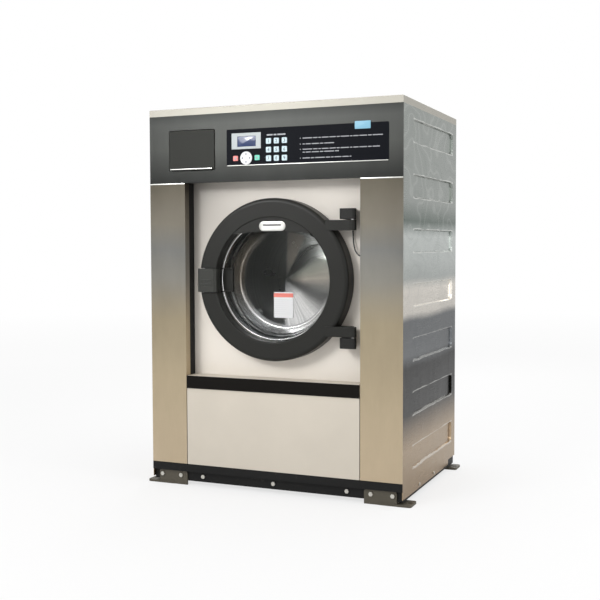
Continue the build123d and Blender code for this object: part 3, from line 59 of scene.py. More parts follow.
camera_data = bpy.data.cameras.new("studio_camera")
camera_data.lens = 59.4
camera_data.sensor_width = 36.0
camera = bpy.data.objects.new("studio_camera", camera_data)
camera.location = (1.457, -3.504, 0.882)
forward = Vector((
    -math.sin(camera_yaw) * math.cos(camera_pitch),
    math.cos(camera_yaw) * math.cos(camera_pitch),
    math.sin(camera_pitch),
))
turn = forward.to_track_quat("-Z", "Y").to_matrix().to_4x4()
camera.rotation_euler = (turn @ Matrix.Rotation(camera_roll, 4, "Z")).to_euler()
scene.collection.objects.link(camera)
scene.camera = camera
scene.view_settings.view_transform = "Standard"

# %% [markdown]
# ## Shader maths as plain expressions
#
# A finish on a real machine is never one colour: steel has grain, paint has orange peel, rubber
# has dust. Such changes are built from small node graphs. Typing each node out is long, so a
# `Value` wraps a socket, and adding or multiplying two of them adds the Math node that does it.
# Every other node comes from `Finish.node`, which takes the node's type, its settings and what
# goes into its sockets.

# %% Value and Finish
class Value:
    """A number or colour that varies over a surface."""

    def __init__(self, finish, socket):
        self.finish = finish
        self.socket = socket

    def math(self, operation, *parts):
        return self.finish.node("ShaderNodeMath", {"operation": operation}, dict(enumerate(parts)))

    def __add__(self, other):
        return self.math("ADD", self, other)

    def __sub__(self, other):
        return self.math("SUBTRACT", self, other)

    def __rsub__(self, other):
        return self.math("SUBTRACT", other, self)

    def __mul__(self, other):
        return self.math("MULTIPLY", self, other)

    def __truediv__(self, other):
        return self.math("DIVIDE", self, other)

    def __pow__(self, other):
        return self.math("POWER", self, other)

    def larger(self, other):
        return self.math("MAXIMUM", self, other)

    def smaller(self, other):
        return self.math("MINIMUM", self, other)

    def size(self):
        return self.math("ABSOLUTE", self)

    def fraction(self):
        return self.math("FRACT", self)

    def __lt__(self, other):
        return self.math("LESS_THAN", self, other)

    def __gt__(self, other):
        return self.math("GREATER_THAN", self, other)

    __radd__ = __add__
    __rmul__ = __mul__


class Finish:
    """A material under construction."""

    def __init__(self, name, metallic=0.0, roughness=0.5, **constants):
        self.material = bpy.data.materials.new(name)
        self.material.use_nodes = True
        self.tree = self.material.node_tree
        self.shader = self.tree.nodes["Principled BSDF"]
        self.shader.inputs["Metallic"].default_value = metallic
        self.shader.inputs["Roughness"].default_value = roughness
        for socket, value in constants.items():
            self.shader.inputs[socket.replace("_", " ")].default_value = value
        self.place = self.node("ShaderNodeTexCoord", output="Object")

    def put(self, socket, value):
        if isinstance(value, Value):
            self.tree.links.new(value.socket, socket)
        elif hasattr(value, "__len__") and len(value) == 3 and socket.type == "RGBA":
            socket.default_value = (*value, 1.0)
        else:
            socket.default_value = value

    def node(self, kind, settings=None, sockets=None, output=0):
        made = self.tree.nodes.new(kind)
        for name, value in (settings or {}).items():
            if name == "stops":
                elements = made.color_ramp.elements
                while len(elements) < len(value):
                    elements.new(0.5)
                for element, (position, shade) in zip(elements, value):
                    tone = shade if isinstance(shade, tuple) else (shade, shade, shade)
                    element.position = position
                    element.color = (*tone, 1.0)
            else:
                setattr(made, name, value)
        for name, value in (sockets or {}).items():
            self.put(made.inputs[name], value)
        return Value(self, made.outputs[output])

    def axes(self, position=None):
        parts = {"Vector": position or self.place}
        return [self.node("ShaderNodeSeparateXYZ", sockets=parts, output=i) for i in range(3)]

    def stretched(self, scale):
        """Object coordinates, drawn out differently along each axis."""
        return self.node("ShaderNodeMapping", sockets={"Vector": self.place, "Scale": scale})

    def noise(self, scale, detail, position=None, rough=0.5):
        sockets = {"Scale": scale, "Detail": detail, "Roughness": rough}
        sockets["Vector"] = position or self.place
        return self.node("ShaderNodeTexNoise", sockets=sockets)

    def ramp(self, value, *stops):
        return self.node("ShaderNodeValToRGB", {"stops": stops}, {"Fac": value})

    def mix(self, factor, first, second):
        settings = {"data_type": "RGBA"}
        return self.node("ShaderNodeMix", settings, {0: factor, 6: first, 7: second}, output=2)

    def tint(self, first, second):
        """Two colours multiplied together."""
        settings = {"data_type": "RGBA", "blend_type": "MULTIPLY"}
        return self.node("ShaderNodeMix", settings, {0: 1.0, 6: first, 7: second}, output=2)

    def grey(self, level):
        """A number as a grey of that level."""
        parts = {"Red": level, "Green": level, "Blue": level}
        return self.node("ShaderNodeCombineColor", sockets=parts)

    def colour(self, value):
        self.put(self.shader.inputs["Base Color"], value)

    def roughness(self, value):
        self.put(self.shader.inputs["Roughness"], value)

    def bump(self, height, strength, distance, under=None):
        sockets = {"Height": height, "Strength": strength, "Distance": distance}
        if under is not None:
            sockets["Normal"] = under
        normal = self.node("ShaderNodeBump", sockets=sockets)
        self.put(self.shader.inputs["Normal"], normal)
        return normal

# %% [markdown]
# ## Brushed and rolled steel
#
# Most of the machine is stainless sheet. Its grain is a noise that is drawn out thirty to a
# hundred times further along the brush than across it, and it shows in three ways at once: a
# little in the colour, more in the roughness, and as fine scratches in the bump. Cast, plated
# and galvanised metal has the same noise with an even grain.
#
# The large sheets at the front and sides carry a painted reflection as well. Their tone changes
# with height, as a room with a warm floor and pale walls would show in them, and a wide noise
# bends them by a fraction of a millimetre. The painted reflection is part of the colour, so it
# stays where it is on the sheet from every side.

# %% Steel
def steel(name, dark, light, grain, rough, metallic=1.0):
    """Metal with a grain, of one tone all over."""
    finish = Finish(name, metallic=metallic, roughness=rough)
    streak = finish.noise(6.0, 5.0, finish.stretched(grain), 0.62)
    clouds = finish.noise(3.0, 3.0)
    finish.colour(finish.mix(streak * 0.7 + clouds * 0.3, dark, light))
    finish.roughness(streak * 0.18 + clouds * 0.1 + (rough - 0.14))
    finish.bump(streak, 0.06, 0.0004)
    return finish.material


def graded_steel(name, bottom, top, stops, grain, rough, mottle, warp, edges=None, **constants):
    """Sheet steel with a painted reflection: its tone changes with height."""
    finish = Finish(name, metallic=1.0, roughness=rough, **constants)
    z = finish.axes()[2]
    wander = finish.noise(2.6, 3.0, finish.stretched((1.0, 1.0, 2.2)))
    level = (z - bottom) / (top - bottom) + (wander - 0.5) * warp
    # Painted reflection: the tone by height stands for a room mirrored in the sheet.
    tone = finish.ramp(level, *stops)
    streak = finish.noise(6.0, 5.0, finish.stretched(grain), 0.6)
    clouds = finish.noise(9.0, 4.0, finish.stretched((1.0, 1.0, 0.4)), 0.6)
    shade = streak * mottle + clouds * (mottle * 1.6) + (1.0 - mottle * 1.3)
    colour = finish.tint(tone, finish.grey(shade))
    # Painted highlights and reflections drawn over the tone, such as those of the ribs.
    if edges:
        colour = edges(finish, colour)
    finish.colour(colour)
    finish.roughness(streak * 0.14 + clouds * 0.08 + (rough - 0.11))
    wave = finish.bump(clouds, 0.3, 0.004)
    finish.bump(streak, 0.06, 0.0004, wave)
    return finish.material


# %% [markdown]
# ## Paint, castings and mouldings
#
# Powder coat is not smooth: it has the fine orange peel of a melted powder, so its bump is a
# dense noise with a soft roughness. A casting shows the same under the paint but coarser. Moulded
# plastic is spark-eroded, which is a still finer grain and hardly any change of colour.

# %% Paint and plastic
def coat(name, colour, peel=900.0, depth=0.12, rough=0.42, mottle=0.06, wear=None, shade=None,
         **constants):
    finish = Finish(name, roughness=rough, **constants)
    grain = finish.noise(peel, 2.0)
    clouds = finish.noise(7.0, 4.0)
    darker = tuple(c * (1 - mottle * 2.2) for c in colour)
    lighter = tuple(min(1.0, c * (1 + mottle)) for c in colour)
    base = finish.mix(clouds, darker, lighter)
    if wear:
        rubbed = finish.noise(26.0, 8.0, rough=0.7)
        scuffs = finish.ramp(rubbed, (0.60, 0.0), (0.70, 1.0))
        base = finish.mix(scuffs * 0.5, base, wear)
    if shade:
        base = shade(finish, base)
    finish.colour(base)
    finish.roughness(grain * 0.08 + clouds * 0.12 + (rough - 0.1))
    finish.bump(grain, depth, 0.0003)
    return finish.material


def moulded(name, colour, rough, **constants):
    return coat(name, colour, 2200.0, 0.1, rough, 0.03, **constants)


def rubber(name, colour):
    finish = Finish(name, roughness=0.78)
    dust = finish.ramp(finish.noise(18.0, 6.0), (0.5, 0.0), (0.8, 1.0))
    finish.colour(finish.mix(dust * 0.35, colour, tuple(c + 0.06 for c in colour)))
    finish.roughness(dust * 0.15 + 0.7)
    finish.bump(finish.noise(700.0, 2.0), 0.2, 0.0003)
    return finish.material


# %% [markdown]
# ## The perforated drum
#
# The drum's wall is punched with hundreds of small holes, which would cost a great many faces.
# They are drawn in the material instead. The wall is a cylinder, so its pattern is laid out on the
# angle round the drum's axis and the distance along it, and every second row is shifted by half
# a step. The holes are dark, not metallic, and sunk by the bump. The flat ends have none, which
# the direction of the surface tells, but they have the fine rings that turning leaves.

# %% Drum steel
drum_low, drum_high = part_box("drum_basket")
drum_radius = (drum_high[0] - drum_low[0]) / 2
drum_axis_z = (drum_high[2] + drum_low[2]) / 2
hole_pitch = 0.017
hole_share = 0.16  # radius of a hole, as a share of the pitch
hole_blur = 0.03


def punched_steel(name):
    finish = Finish(name, metallic=0.9, roughness=0.3)
    x, y, z = finish.axes()
    up = z - drum_axis_z
    angle = x.math("ARCTAN2", x, up)
    along = y / hole_pitch
    row = along.math("FLOOR", along)
    odd = row.math("MODULO", row + 1000.0, 2.0)
    around = angle * (drum_radius / hole_pitch) + odd * 0.5
    across = around.fraction() - 0.5
    down = along.fraction() - 0.5
    distance = (across * across + down * down) ** 0.5
    hole = finish.ramp(distance, (hole_share - hole_blur, 1.0), (hole_share + hole_blur, 0.0))
    facing = finish.node("ShaderNodeNewGeometry", output="Normal")
    sideways = finish.axes(facing)[1]
    wall = (sideways * sideways) < 0.3
    punched = hole * wall
    radius = (x * x + up * up) ** 0.5
    outward = finish.node("ShaderNodeCombineXYZ", sockets={"X": radius * 160.0})
    rings = finish.noise(1.0, 4.0, outward)
    ends = finish.mix(rings, (0.20, 0.20, 0.19), (0.50, 0.49, 0.47))
    streak = finish.noise(5.0, 5.0, finish.stretched((1.5, 140.0, 1.5)), 0.6)
    # Painted light and shade: the wall is light at the bottom and dark at the top.
    height = up / (2 * drum_radius) + 0.5
    sheet = finish.ramp(
        height + (streak - 0.5) * 0.2,
        (0.0, (0.86, 0.86, 0.86)), (0.40, (0.30, 0.30, 0.31)), (0.7, (0.09, 0.09, 0.085)),
    )
    plain = finish.mix(wall, ends, sheet)
    finish.colour(finish.mix(punched, plain, (0.03, 0.03, 0.035)))
    finish.put(finish.shader.inputs["Metallic"], 0.9 - punched * 0.85)
    finish.roughness(streak * 0.14 + punched * 0.3 + 0.22)
    finish.bump(1.0 - punched + streak * 0.03, 0.5, 0.0015)
    return finish.material


# %% [markdown]
# ## Glass
#
# The bowl of the door is clear. A true refracting shader would leave the drum behind it dark, for
# a path tracer finds few ways through it, so the glass is a mix of two simpler shaders: light
# passes straight through where the surface faces the eye, and is mirrored where it is seen at a
# grazing angle. Water marks raise the roughness of the mirrored part a little.
#
# A deep bowl also gathers light in wedges that meet in its middle, and in arcs along its corner.
# Both are painted reflections, drawn on the angle and the distance from the middle, where the
# glass turns to a pale metal, so they belong to the glass and go round with the door.

# %% Clear glass
bowl_low, bowl_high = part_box("door_glass")
door_x = (bowl_low[0] + bowl_high[0]) / 2
door_z = (bowl_low[2] + bowl_high[2]) / 2
sheen_reach = 0.25  # the radius at which the places of the arcs reach 1
# Painted reflections: tone and amount of the wedges by angle, place and amount of the arcs.
sheen_tones = (
    (0.00, (0.62, 0.54, 0.45)), (0.08, (0.80, 0.78, 0.76)), (0.14, (0.95, 0.95, 0.96)),
    (0.235, (0.70, 0.70, 0.70)), (0.255, (0.98, 0.98, 0.98)), (0.40, (0.96, 0.95, 0.93)),
    (0.45, (0.42, 0.41, 0.40)), (0.50, (0.82, 0.73, 0.62)), (0.56, (0.58, 0.60, 0.50)),
    (0.61, (0.10, 0.10, 0.09)), (0.675, (0.40, 0.34, 0.26)), (0.735, (0.36, 0.30, 0.23)),
    (0.76, (0.08, 0.08, 0.08)), (0.86, (0.40, 0.35, 0.28)), (1.00, (0.62, 0.54, 0.45)),
)
sheen_amounts = (
    (0.00, 0.02), (0.10, 0.05), (0.20, 0.12), (0.24, 0.14), (0.26, 0.92), (0.37, 0.90),
    (0.42, 0.36), (0.46, 0.40), (0.50, 0.62), (0.57, 0.55), (0.61, 0.04), (0.665, 0.04),
    (0.685, 0.42), (0.73, 0.34), (0.75, 0.04), (1.00, 0.04),
)
reflection_arc_amounts = (
    (0.00, 0.80), (0.15, 0.94), (0.38, 0.90), (0.50, 0.25), (0.62, 0.06), (0.80, 0.10),
    (0.86, 0.50), (1.00, 0.80),
)
reflection_arc_places = (
    (0.0, 0.0), (0.640, 0.0), (0.670, 0.6), (0.730, 0.95), (0.780, 0.80), (0.790, 0.05),
    (0.800, 0.0), (0.808, 0.7), (0.820, 0.1), (0.840, 0.0), (0.848, 0.8), (0.858, 0.1),
    (1.0, 0.0),
)


def clear_glass(name):
    finish = Finish(name, roughness=0.05, IOR=1.5, Specular_IOR_Level=0.9)
    tree = finish.tree
    marks = finish.ramp(finish.noise(40.0, 6.0), (0.45, 0.0), (0.9, 1.0))
    x, z = finish.axes()[::2]
    right, up = x - door_x, z - door_z
    outward = (right * right + up * up) ** 0.5 / sheen_reach
    wander = (finish.noise(9.0, 2.0) - 0.5) * 0.03
    turned = up.math("ARCTAN2", up, right) / (2 * math.pi) + 0.5 + wander
    inner = finish.ramp(outward, (0.04, 0.2), (0.30, 1.0), (0.68, 1.0), (0.70, 0.0))
    around = finish.node("ShaderNodeCombineXYZ", sockets={"X": turned * 90.0})
    grain = finish.noise(1.0, 3.0, around)
    sheen = finish.ramp(turned, *sheen_amounts) * inner * (grain * 0.5 + 0.70)
    arcs = finish.ramp(outward, *reflection_arc_places) * finish.ramp(turned, *reflection_arc_amounts)
    mirrored = sheen.larger(arcs).smaller(0.95)
    finish.colour(finish.mix(mirrored, (0.030, 0.034, 0.034), finish.ramp(turned, *sheen_tones)))
    finish.put(finish.shader.inputs["Metallic"], mirrored)
    finish.roughness(marks * 0.12 + mirrored * 0.2 + 0.03)
    through = tree.nodes.new("ShaderNodeBsdfTransparent")
    through.inputs["Color"].default_value = (0.92, 0.94, 0.94, 1.0)
    edge = finish.node("ShaderNodeLayerWeight", sockets={"Blend": 0.14}, output="Fresnel")
    join = tree.nodes.new("ShaderNodeMixShader")
    finish.put(join.inputs["Fac"], (edge * 0.85 + marks * 0.02).larger(mirrored))
    tree.links.new(through.outputs[0], join.inputs[1])
    tree.links.new(finish.shader.outputs[0], join.inputs[2])
    output = next(n for n in tree.nodes if n.type == "OUTPUT_MATERIAL")
    tree.links.new(join.outputs[0], output.inputs["Surface"])
    return finish.material

# %% [markdown]
# ## Every solid gets its finish
#
# The table below pairs each finish with the CAD nodes that carry it. The meshes of these nodes
# stay as they are; only the material in their slots changes. The front is a mixture: dark brushed
# steel on top, paler steel pillars at the sides, cream powder coat on the two panels, and
# castings painted almost black.

# %% Finishes of the solids
sill_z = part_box("front_plinth")[1][2]
fascia_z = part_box("fascia")[0][2]

panel_low, panel_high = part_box("right_side_panel")
# Painted reflection of a room on the side sheets, as tones by share of the sheet's height.
floor_reflection = (0.40, 0.30, 0.20)
skirting_reflection = (0.006, 0.006, 0.005)
wall_reflection = (0.19, 0.20, 0.21)
window_reflection = (0.95, 0.90, 0.82)
pale_wall_reflection = (0.47, 0.50, 0.48)
rail_reflection = (0.05, 0.08, 0.06)
ceiling_reflection = (0.24, 0.26, 0.24)
side_painted_reflection = (
    (0.12, floor_reflection), (0.21, skirting_reflection), (0.33, skirting_reflection), (0.36, wall_reflection),
    (0.45, wall_reflection), (0.47, window_reflection), (0.53, window_reflection), (0.56, pale_wall_reflection),
    (0.67, pale_wall_reflection), (0.71, rail_reflection), (0.76, ceiling_reflection),
)
rib_first, rib_height, rib_pitch = 0.109, 0.080, 0.187
rib_ends = (-0.235, 0.300)


def rib_edges(finish, colour):
    """Painted highlights on the rib edges and painted reflections of waves between them."""
    y, z = finish.axes()[1:]
    bends = finish.noise(2.6, 2.0, finish.stretched((1.0, 1.0, 1.5)), 0.4)
    contour = (bends * 13.0).fraction()
    dark = finish.ramp(contour, (0.36, 0.0), (0.46, 1.0), (0.54, 1.0), (0.64, 0.0))
    pale = finish.ramp(contour, (0.00, 1.0), (0.10, 0.0), (0.86, 0.0), (1.0, 1.0))
    high = finish.ramp(z / 1.3, (0.35, 0.10), (0.60, 0.5), (0.78, 1.0))
    # Painted reflections: dark and pale bands of a wavy sheet, stronger higher up.
    colour = finish.mix(dark * high * 0.15, colour, (0.12, 0.15, 0.13))
    colour = finish.mix(pale * high * 0.12, colour, (0.80, 0.82, 0.78))
    wave = (finish.noise(14.0, 3.0) - 0.5) * 0.012
    # Painted highlight: a bright line along the foot and the head of each rib.
    place = ((z + wave - rib_first) / rib_pitch).fraction() * rib_pitch
    near_foot = (place < 0.004) + (place > rib_pitch - 0.002)
    near_head = (place - rib_height).size() < 0.0025
    inside = (y > rib_ends[0]) * (y < rib_ends[1])
    line = (near_foot + near_head) * inside
    return finish.mix(line * 0.45, colour, (0.86, 0.86, 0.82))


door_panel_low, door_panel_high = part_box("door_panel")


def door_shade(finish, colour):
    """The upper left of the panel stands in the shade of the fascia and of the pillar."""
    x, z = finish.axes()[::2]
    from_left = (x - door_panel_low[0]) / 0.34
    from_top = (door_panel_high[2] - z) / 0.42
    away = (from_left * from_left + from_top * from_top) ** 0.5
    level = finish.ramp(away, (0.1, 0.28), (0.75, 0.80), (1.4, 1.0))
    return finish.tint(colour, finish.grey(level))


finishes = {
    "fascia_sheet": graded_steel(
        "fascia_sheet", fascia_z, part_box("fascia")[1][2],
        # Painted reflection: darker at the foot of the fascia, lighter in its middle and upper
        # part.
        [(0.0, (0.026, 0.027, 0.026)), (0.5, (0.060, 0.062, 0.058)),
         (0.86, (0.060, 0.062, 0.059)), (1.0, (0.040, 0.042, 0.040))],
        (160.0, 160.0, 2.0), 0.40, mottle=0.22, warp=0.03,
    ),
    "pillar_sheet": graded_steel(
        "pillar_sheet", sill_z, fascia_z,
        # Painted reflection: warm and light at the foot of the pillars, dark at their top.
        [(0.0, (0.54, 0.44, 0.31)), (0.30, (0.46, 0.38, 0.26)), (0.52, (0.38, 0.32, 0.22)),
         (0.66, (0.26, 0.25, 0.22)), (0.76, (0.19, 0.19, 0.18)), (0.86, (0.18, 0.165, 0.135)),
         (1.0, (0.095, 0.085, 0.066))],
        (150.0, 150.0, 2.2), 0.34, mottle=0.16, warp=0.07,
    ),
    "side_sheet": graded_steel(
        "side_sheet", panel_low[2], panel_high[2], side_painted_reflection, (2.0, 2.0, 60.0), 0.26,
        mottle=0.08, warp=0.02, edges=rib_edges, Specular_Tint=(0.88, 0.88, 0.88, 1.0),
    ),
    "lid_sheet": steel(
        "lid_sheet", (0.33, 0.32, 0.28), (0.46, 0.44, 0.39), (1.5, 160.0, 160.0), 0.5, 0.8
    ),
    "galvanised_sheet": steel(
        "galvanised_sheet", (0.42, 0.44, 0.46), (0.60, 0.62, 0.63), (9.0, 9.0, 9.0), 0.42
    ),
    "bright_steel": steel(
        "bright_steel", (0.60, 0.60, 0.60), (0.76, 0.76, 0.75), (60.0, 60.0, 60.0), 0.26
    ),
    "zinc_plate": steel(
        "zinc_plate", (0.50, 0.49, 0.45), (0.70, 0.69, 0.64), (40.0, 40.0, 40.0), 0.36
    ),
    "drum_sheet": punched_steel("drum_sheet"),
    "tub_sheet": steel(
        "tub_sheet", (0.50, 0.50, 0.50), (0.66, 0.66, 0.65), (2.0, 90.0, 2.0), 0.34
    ),
    "machined_brass": steel(
        "machined_brass", (0.52, 0.36, 0.12), (0.72, 0.54, 0.22), (50.0, 50.0, 50.0), 0.32
    ),
    # Painted light: the same cream as the lower panel, made lighter on the door panel.
    "door_coat_painted_lighter": coat("door_coat_painted_lighter", (0.84, 0.785, 0.71), mottle=0.03, shade=door_shade),
    "cream_coat": coat("cream_coat", (0.63, 0.575, 0.49), mottle=0.04),
    "black_coat": coat(
        "black_coat", (0.008, 0.008, 0.008), rough=0.5, wear=(0.05, 0.045, 0.04),
        Specular_IOR_Level=0.2,
    ),
    "bracket_coat": coat(
        "bracket_coat", (0.08, 0.07, 0.05), 500.0, 0.2, 0.55, wear=(0.22, 0.18, 0.13)
    ),
    "grey_coat": coat(
        "grey_coat", (0.16, 0.15, 0.13), 500.0, 0.2, 0.55, wear=(0.30, 0.24, 0.18)
    ),
    "ring_coat": coat(
        "ring_coat", (0.014, 0.014, 0.012), 620.0, 0.22, mottle=0.08, Specular_IOR_Level=0.24
    ),
    "hinge_coat": coat(
        "hinge_coat", (0.012, 0.012, 0.011), 620.0, 0.2, 0.45, 0.1, Specular_IOR_Level=0.25
    ),
    "iron_coat": coat("iron_coat", (0.035, 0.045, 0.055), 320.0, 0.5, 0.6, 0.12),
    "motor_coat": coat("motor_coat", (0.06, 0.11, 0.17), 420.0, 0.3, 0.5),
    "drawer_moulding": moulded(
        "drawer_moulding", (0.023, 0.024, 0.020), 0.46, Specular_IOR_Level=0.2
    ),
    "handle_moulding": moulded(
        "handle_moulding", (0.026, 0.027, 0.023), 0.42, Specular_IOR_Level=0.35
    ),
    "white_moulding": moulded("white_moulding", (0.72, 0.72, 0.70), 0.5),
    "black_moulding": moulded("black_moulding", (0.022, 0.022, 0.023), 0.5),
    "display_moulding": moulded("display_moulding", (0.50, 0.54, 0.55), 0.42),
    "overlay_film": coat(
        "overlay_film", (0.004, 0.005, 0.008), 1500.0, 0.03, 0.4, 0.02, Specular_IOR_Level=0.06
    ),
    "strip_film": coat(
        "strip_film", (0.005, 0.004, 0.003), 1500.0, 0.05, 0.5, Specular_IOR_Level=0.1
    ),
    "key_moulding": moulded("key_moulding", (0.62, 0.76, 0.82), 0.38),
    "pad_moulding": moulded("pad_moulding", (0.80, 0.81, 0.83), 0.38),
    "red_moulding": moulded("red_moulding", (0.86, 0.26, 0.24), 0.38),
    "green_moulding": moulded("green_moulding", (0.16, 0.66, 0.50), 0.38),
    "black_rubber": rubber("black_rubber", (0.020, 0.020, 0.021)),
    "bowl_glass": clear_glass("bowl_glass"),
}

worn_by = {
    "fascia_sheet": ["fascia"],
    "pillar_sheet": ["left_pillar", "right_pillar"],
    "side_sheet": ["left_side_panel", "right_side_panel"],
    "lid_sheet": ["top_cover"],
    "galvanised_sheet": ["back_panel", "rear_cover"],
    "bright_steel": ["glass_retainer", "lock_hook", "lock_bolt", "door_pins", "bearing_set"],
    "zinc_plate": ["frame_bolts", "retainer_screws"],
    "drum_sheet": ["drum_basket", "drum_lifters"],
    "tub_sheet": ["tub_shell", "tub_front"],
    "machined_brass": ["inlet_valves"],
    "door_coat_painted_lighter": ["door_panel"],
    "cream_coat": ["lower_panel"],
    "black_coat": ["base_frame", "front_plinth"],
    "bracket_coat": ["floor_brackets"],
    "grey_coat": ["inverter_box"],
    "ring_coat": ["door_ring"],
    "hinge_coat": ["hinge_brackets"],
    "iron_coat": ["drum_shaft", "drum_pulley", "motor_pulley", "bearing_housing"],
    "motor_coat": ["motor_body"],
    "drawer_moulding": ["detergent_drawer"],
    "handle_moulding": ["door_handle"],
    "white_moulding": ["dispenser_box"],
    "black_moulding": ["door_lock", "drain_valve", "cable_gland"],
    "display_moulding": ["control_board"],
    "overlay_film": ["control_overlay"],
    "strip_film": ["trim_strip"],
    "key_moulding": [f"key_{number}" for number in range(1, 10)],
    "pad_moulding": ["arrow_pad"],
    "red_moulding": ["stop_key"],
    "green_moulding": ["start_key"],
    "black_rubber": ["tub_seal", "glass_seal", "drive_belts", "water_hoses", "sensor_cable"],
    "bowl_glass": ["door_glass"],
}
for finish_name, names in worn_by.items():
    for name in names:
        for material_slot in nodes[name].material_slots:
            material_slot.material = finishes[finish_name]
dressed = {name for names in worn_by.values() for name in names}
print("nodes without a finish:", set(nodes) - dressed)

# %% [markdown]
# ## Tools for the small pieces
#
# The rest of the machine is modelled by hand, as one would in the window: add a primitive, enter
# edit mode, select some edges or faces, bevel or inset them. Each step acts on everything that is
# selected, so the first helper starts from nothing selected, and the second picks edges or faces
# by where they are. `settle` ends a piece: it gets its finish and its body.

# %% Helpers
def add(name, kind, place=(0.0, 0.0, 0.0), scale=(1.0, 1.0, 1.0), turn=(0.0, 0.0, 0.0), **shape):
    """Add a primitive at its place, with its size and place in its mesh."""
    if bpy.context.object and bpy.context.object.mode != "OBJECT":
        bpy.ops.object.mode_set(mode="OBJECT")
    bpy.ops.object.select_all(action="DESELECT")
    getattr(bpy.ops.mesh, f"primitive_{kind}_add")(location=place, rotation=turn, **shape)
    piece = bpy.context.object
    piece.name = name
    piece.data.name = name
    piece.scale = scale
    bpy.ops.object.transform_apply(location=True, rotation=True, scale=True)
    return piece


def pick(piece, wanted, mode="EDGE"):
    """Select the edges or faces that pass a test on their ends or on their middle."""
    bpy.context.view_layer.objects.active = piece
    bpy.ops.object.mode_set(mode="EDIT")
    bpy.ops.mesh.select_mode(type=mode)
    bpy.ops.mesh.select_all(action="DESELECT")
    bpy.ops.object.mode_set(mode="OBJECT")
    mesh = piece.data
    for edge in mesh.edges if mode == "EDGE" else ():
        edge.select = wanted(*(mesh.vertices[i].co for i in edge.vertices))
    for face in mesh.polygons if mode == "FACE" else ():
        face.select = wanted(face.center, face.normal)
    bpy.ops.object.mode_set(mode="EDIT")


tiny = 1e-6


def along_depth(a, b):
    """A test for edges that run from the front to the back."""
    return abs(a.y - b.y) > tiny and abs(a.x - b.x) < tiny and abs(a.z - b.z) < tiny


def facing_front(middle, normal):
    return normal.y < -0.9


def settle(piece, finish, body):
    """Give a piece its finish and its body."""
    if bpy.context.object.mode != "OBJECT":
        bpy.ops.object.mode_set(mode="OBJECT")
    bpy.ops.object.select_all(action="DESELECT")
    piece.select_set(True)
    bpy.context.view_layer.objects.active = piece
    bpy.ops.object.shade_smooth_by_angle(angle=math.radians(32.0))
    piece.data.materials.clear()
    piece.data.materials.append(finishes[finish])
    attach(piece, body)


def plate(name, x, y, z, corner, edge=0.0, segments=4):
    """A thin plate between two places on each axis, with round corners and a softened front."""
    middle = [(low + high) / 2 for low, high in (x, y, z)]
    size = [high - low for low, high in (x, y, z)]
    piece = add(name, "cube", middle, size, size=1.0)
    pick(piece, along_depth)
    bpy.ops.mesh.bevel(offset=corner, segments=segments, affect="EDGES")
    if edge:
        pick(piece, lambda a, b: max(a.y, b.y) < y[0] + tiny)
        bpy.ops.mesh.bevel(offset=edge, segments=2, affect="EDGES")
    bpy.ops.object.mode_set(mode="OBJECT")
    return piece


def joined(name, pieces):
    """Make one piece of several."""
    bpy.ops.object.select_all(action="DESELECT")
    for piece in pieces:
        piece.select_set(True)
    bpy.context.view_layer.objects.active = pieces[0]
    bpy.ops.object.join()
    pieces[0].name = name
    pieces[0].data.name = name
    return pieces[0]


mm = 0.001

# %% [markdown]
# ## Finishes of the small pieces
#
# A badge is satin metal, printed marks are a thick white ink, and the display behind its window
# is a dark blue glass with the fine grid of its cells. The paper of the sticker on the glass has
# a coloured head, which is drawn by height, and faint ruled lines in place of words.

# %% Small finishes
def paper(name, top, bottom):
    finish = Finish(name, roughness=0.62)
    z = finish.axes()[2]
    height = (z - bottom) / (top - bottom)
    head = finish.ramp(height, (0.80, 0.0), (0.805, 1.0))
    margin = finish.ramp(height, (0.955, 1.0), (0.96, 0.0))
    fibre = finish.noise(900.0, 3.0)
    sheet = finish.mix(fibre, (0.74, 0.74, 0.75), (0.82, 0.82, 0.82))
    band = finish.mix(fibre, (0.78, 0.20, 0.16), (0.84, 0.25, 0.20))
    row = (height * 13.0).fraction()
    rule = (row < 0.16) * (height < 0.72) * (height > 0.12)
    ruled = finish.mix(rule * 0.22, sheet, (0.35, 0.35, 0.36))
    finish.colour(finish.mix(head * margin, ruled, band))
    finish.roughness(fibre * 0.1 + 0.55)
    finish.bump(fibre, 0.1, 0.0001)
    return finish.material


def display_glass(name):
    finish = Finish(name, roughness=0.16, Coat_Weight=0.5)
    x, z = finish.axes()[::2]
    cell_pitch = 0.9 * mm
    gap_share = 0.12
    across = (x / cell_pitch).fraction()
    up = (z / cell_pitch).fraction()
    grid = (across < gap_share).larger(up < gap_share)
    clouds = finish.noise(22.0, 2.0)
    blue = finish.mix(clouds, (0.022, 0.040, 0.120), (0.045, 0.070, 0.175))
    finish.colour(finish.mix(grid * 0.35, blue, (0.012, 0.020, 0.060)))
    finish.roughness(clouds * 0.08 + 0.12)
    return finish.material


glass_wall = 6 * mm
glass_end_y = bowl_high[1] - glass_wall
sticker_x = (door_x - 45 * mm, door_x + 31 * mm)
sticker_z = (door_z - 142 * mm, door_z - 48 * mm)

finishes["badge_metal"] = steel(
    "badge_metal", (0.58, 0.58, 0.55), (0.80, 0.80, 0.76), (120.0, 120.0, 120.0), 0.32
)
finishes["trim_chrome"] = steel(
    "trim_chrome", (0.62, 0.62, 0.62), (0.80, 0.80, 0.80), (30.0, 30.0, 30.0), 0.2
)
finishes["white_ink"] = moulded("white_ink", (0.42, 0.43, 0.46), 0.6)
finishes["dark_ink"] = moulded("dark_ink", (0.030, 0.045, 0.090), 0.5)
finishes["tag_film"] = moulded("tag_film", (0.26, 0.55, 0.72), 0.42)
finishes["sticker_paper"] = paper("sticker_paper", sticker_z[1], sticker_z[0])
finishes["display_face"] = display_glass("display_face")
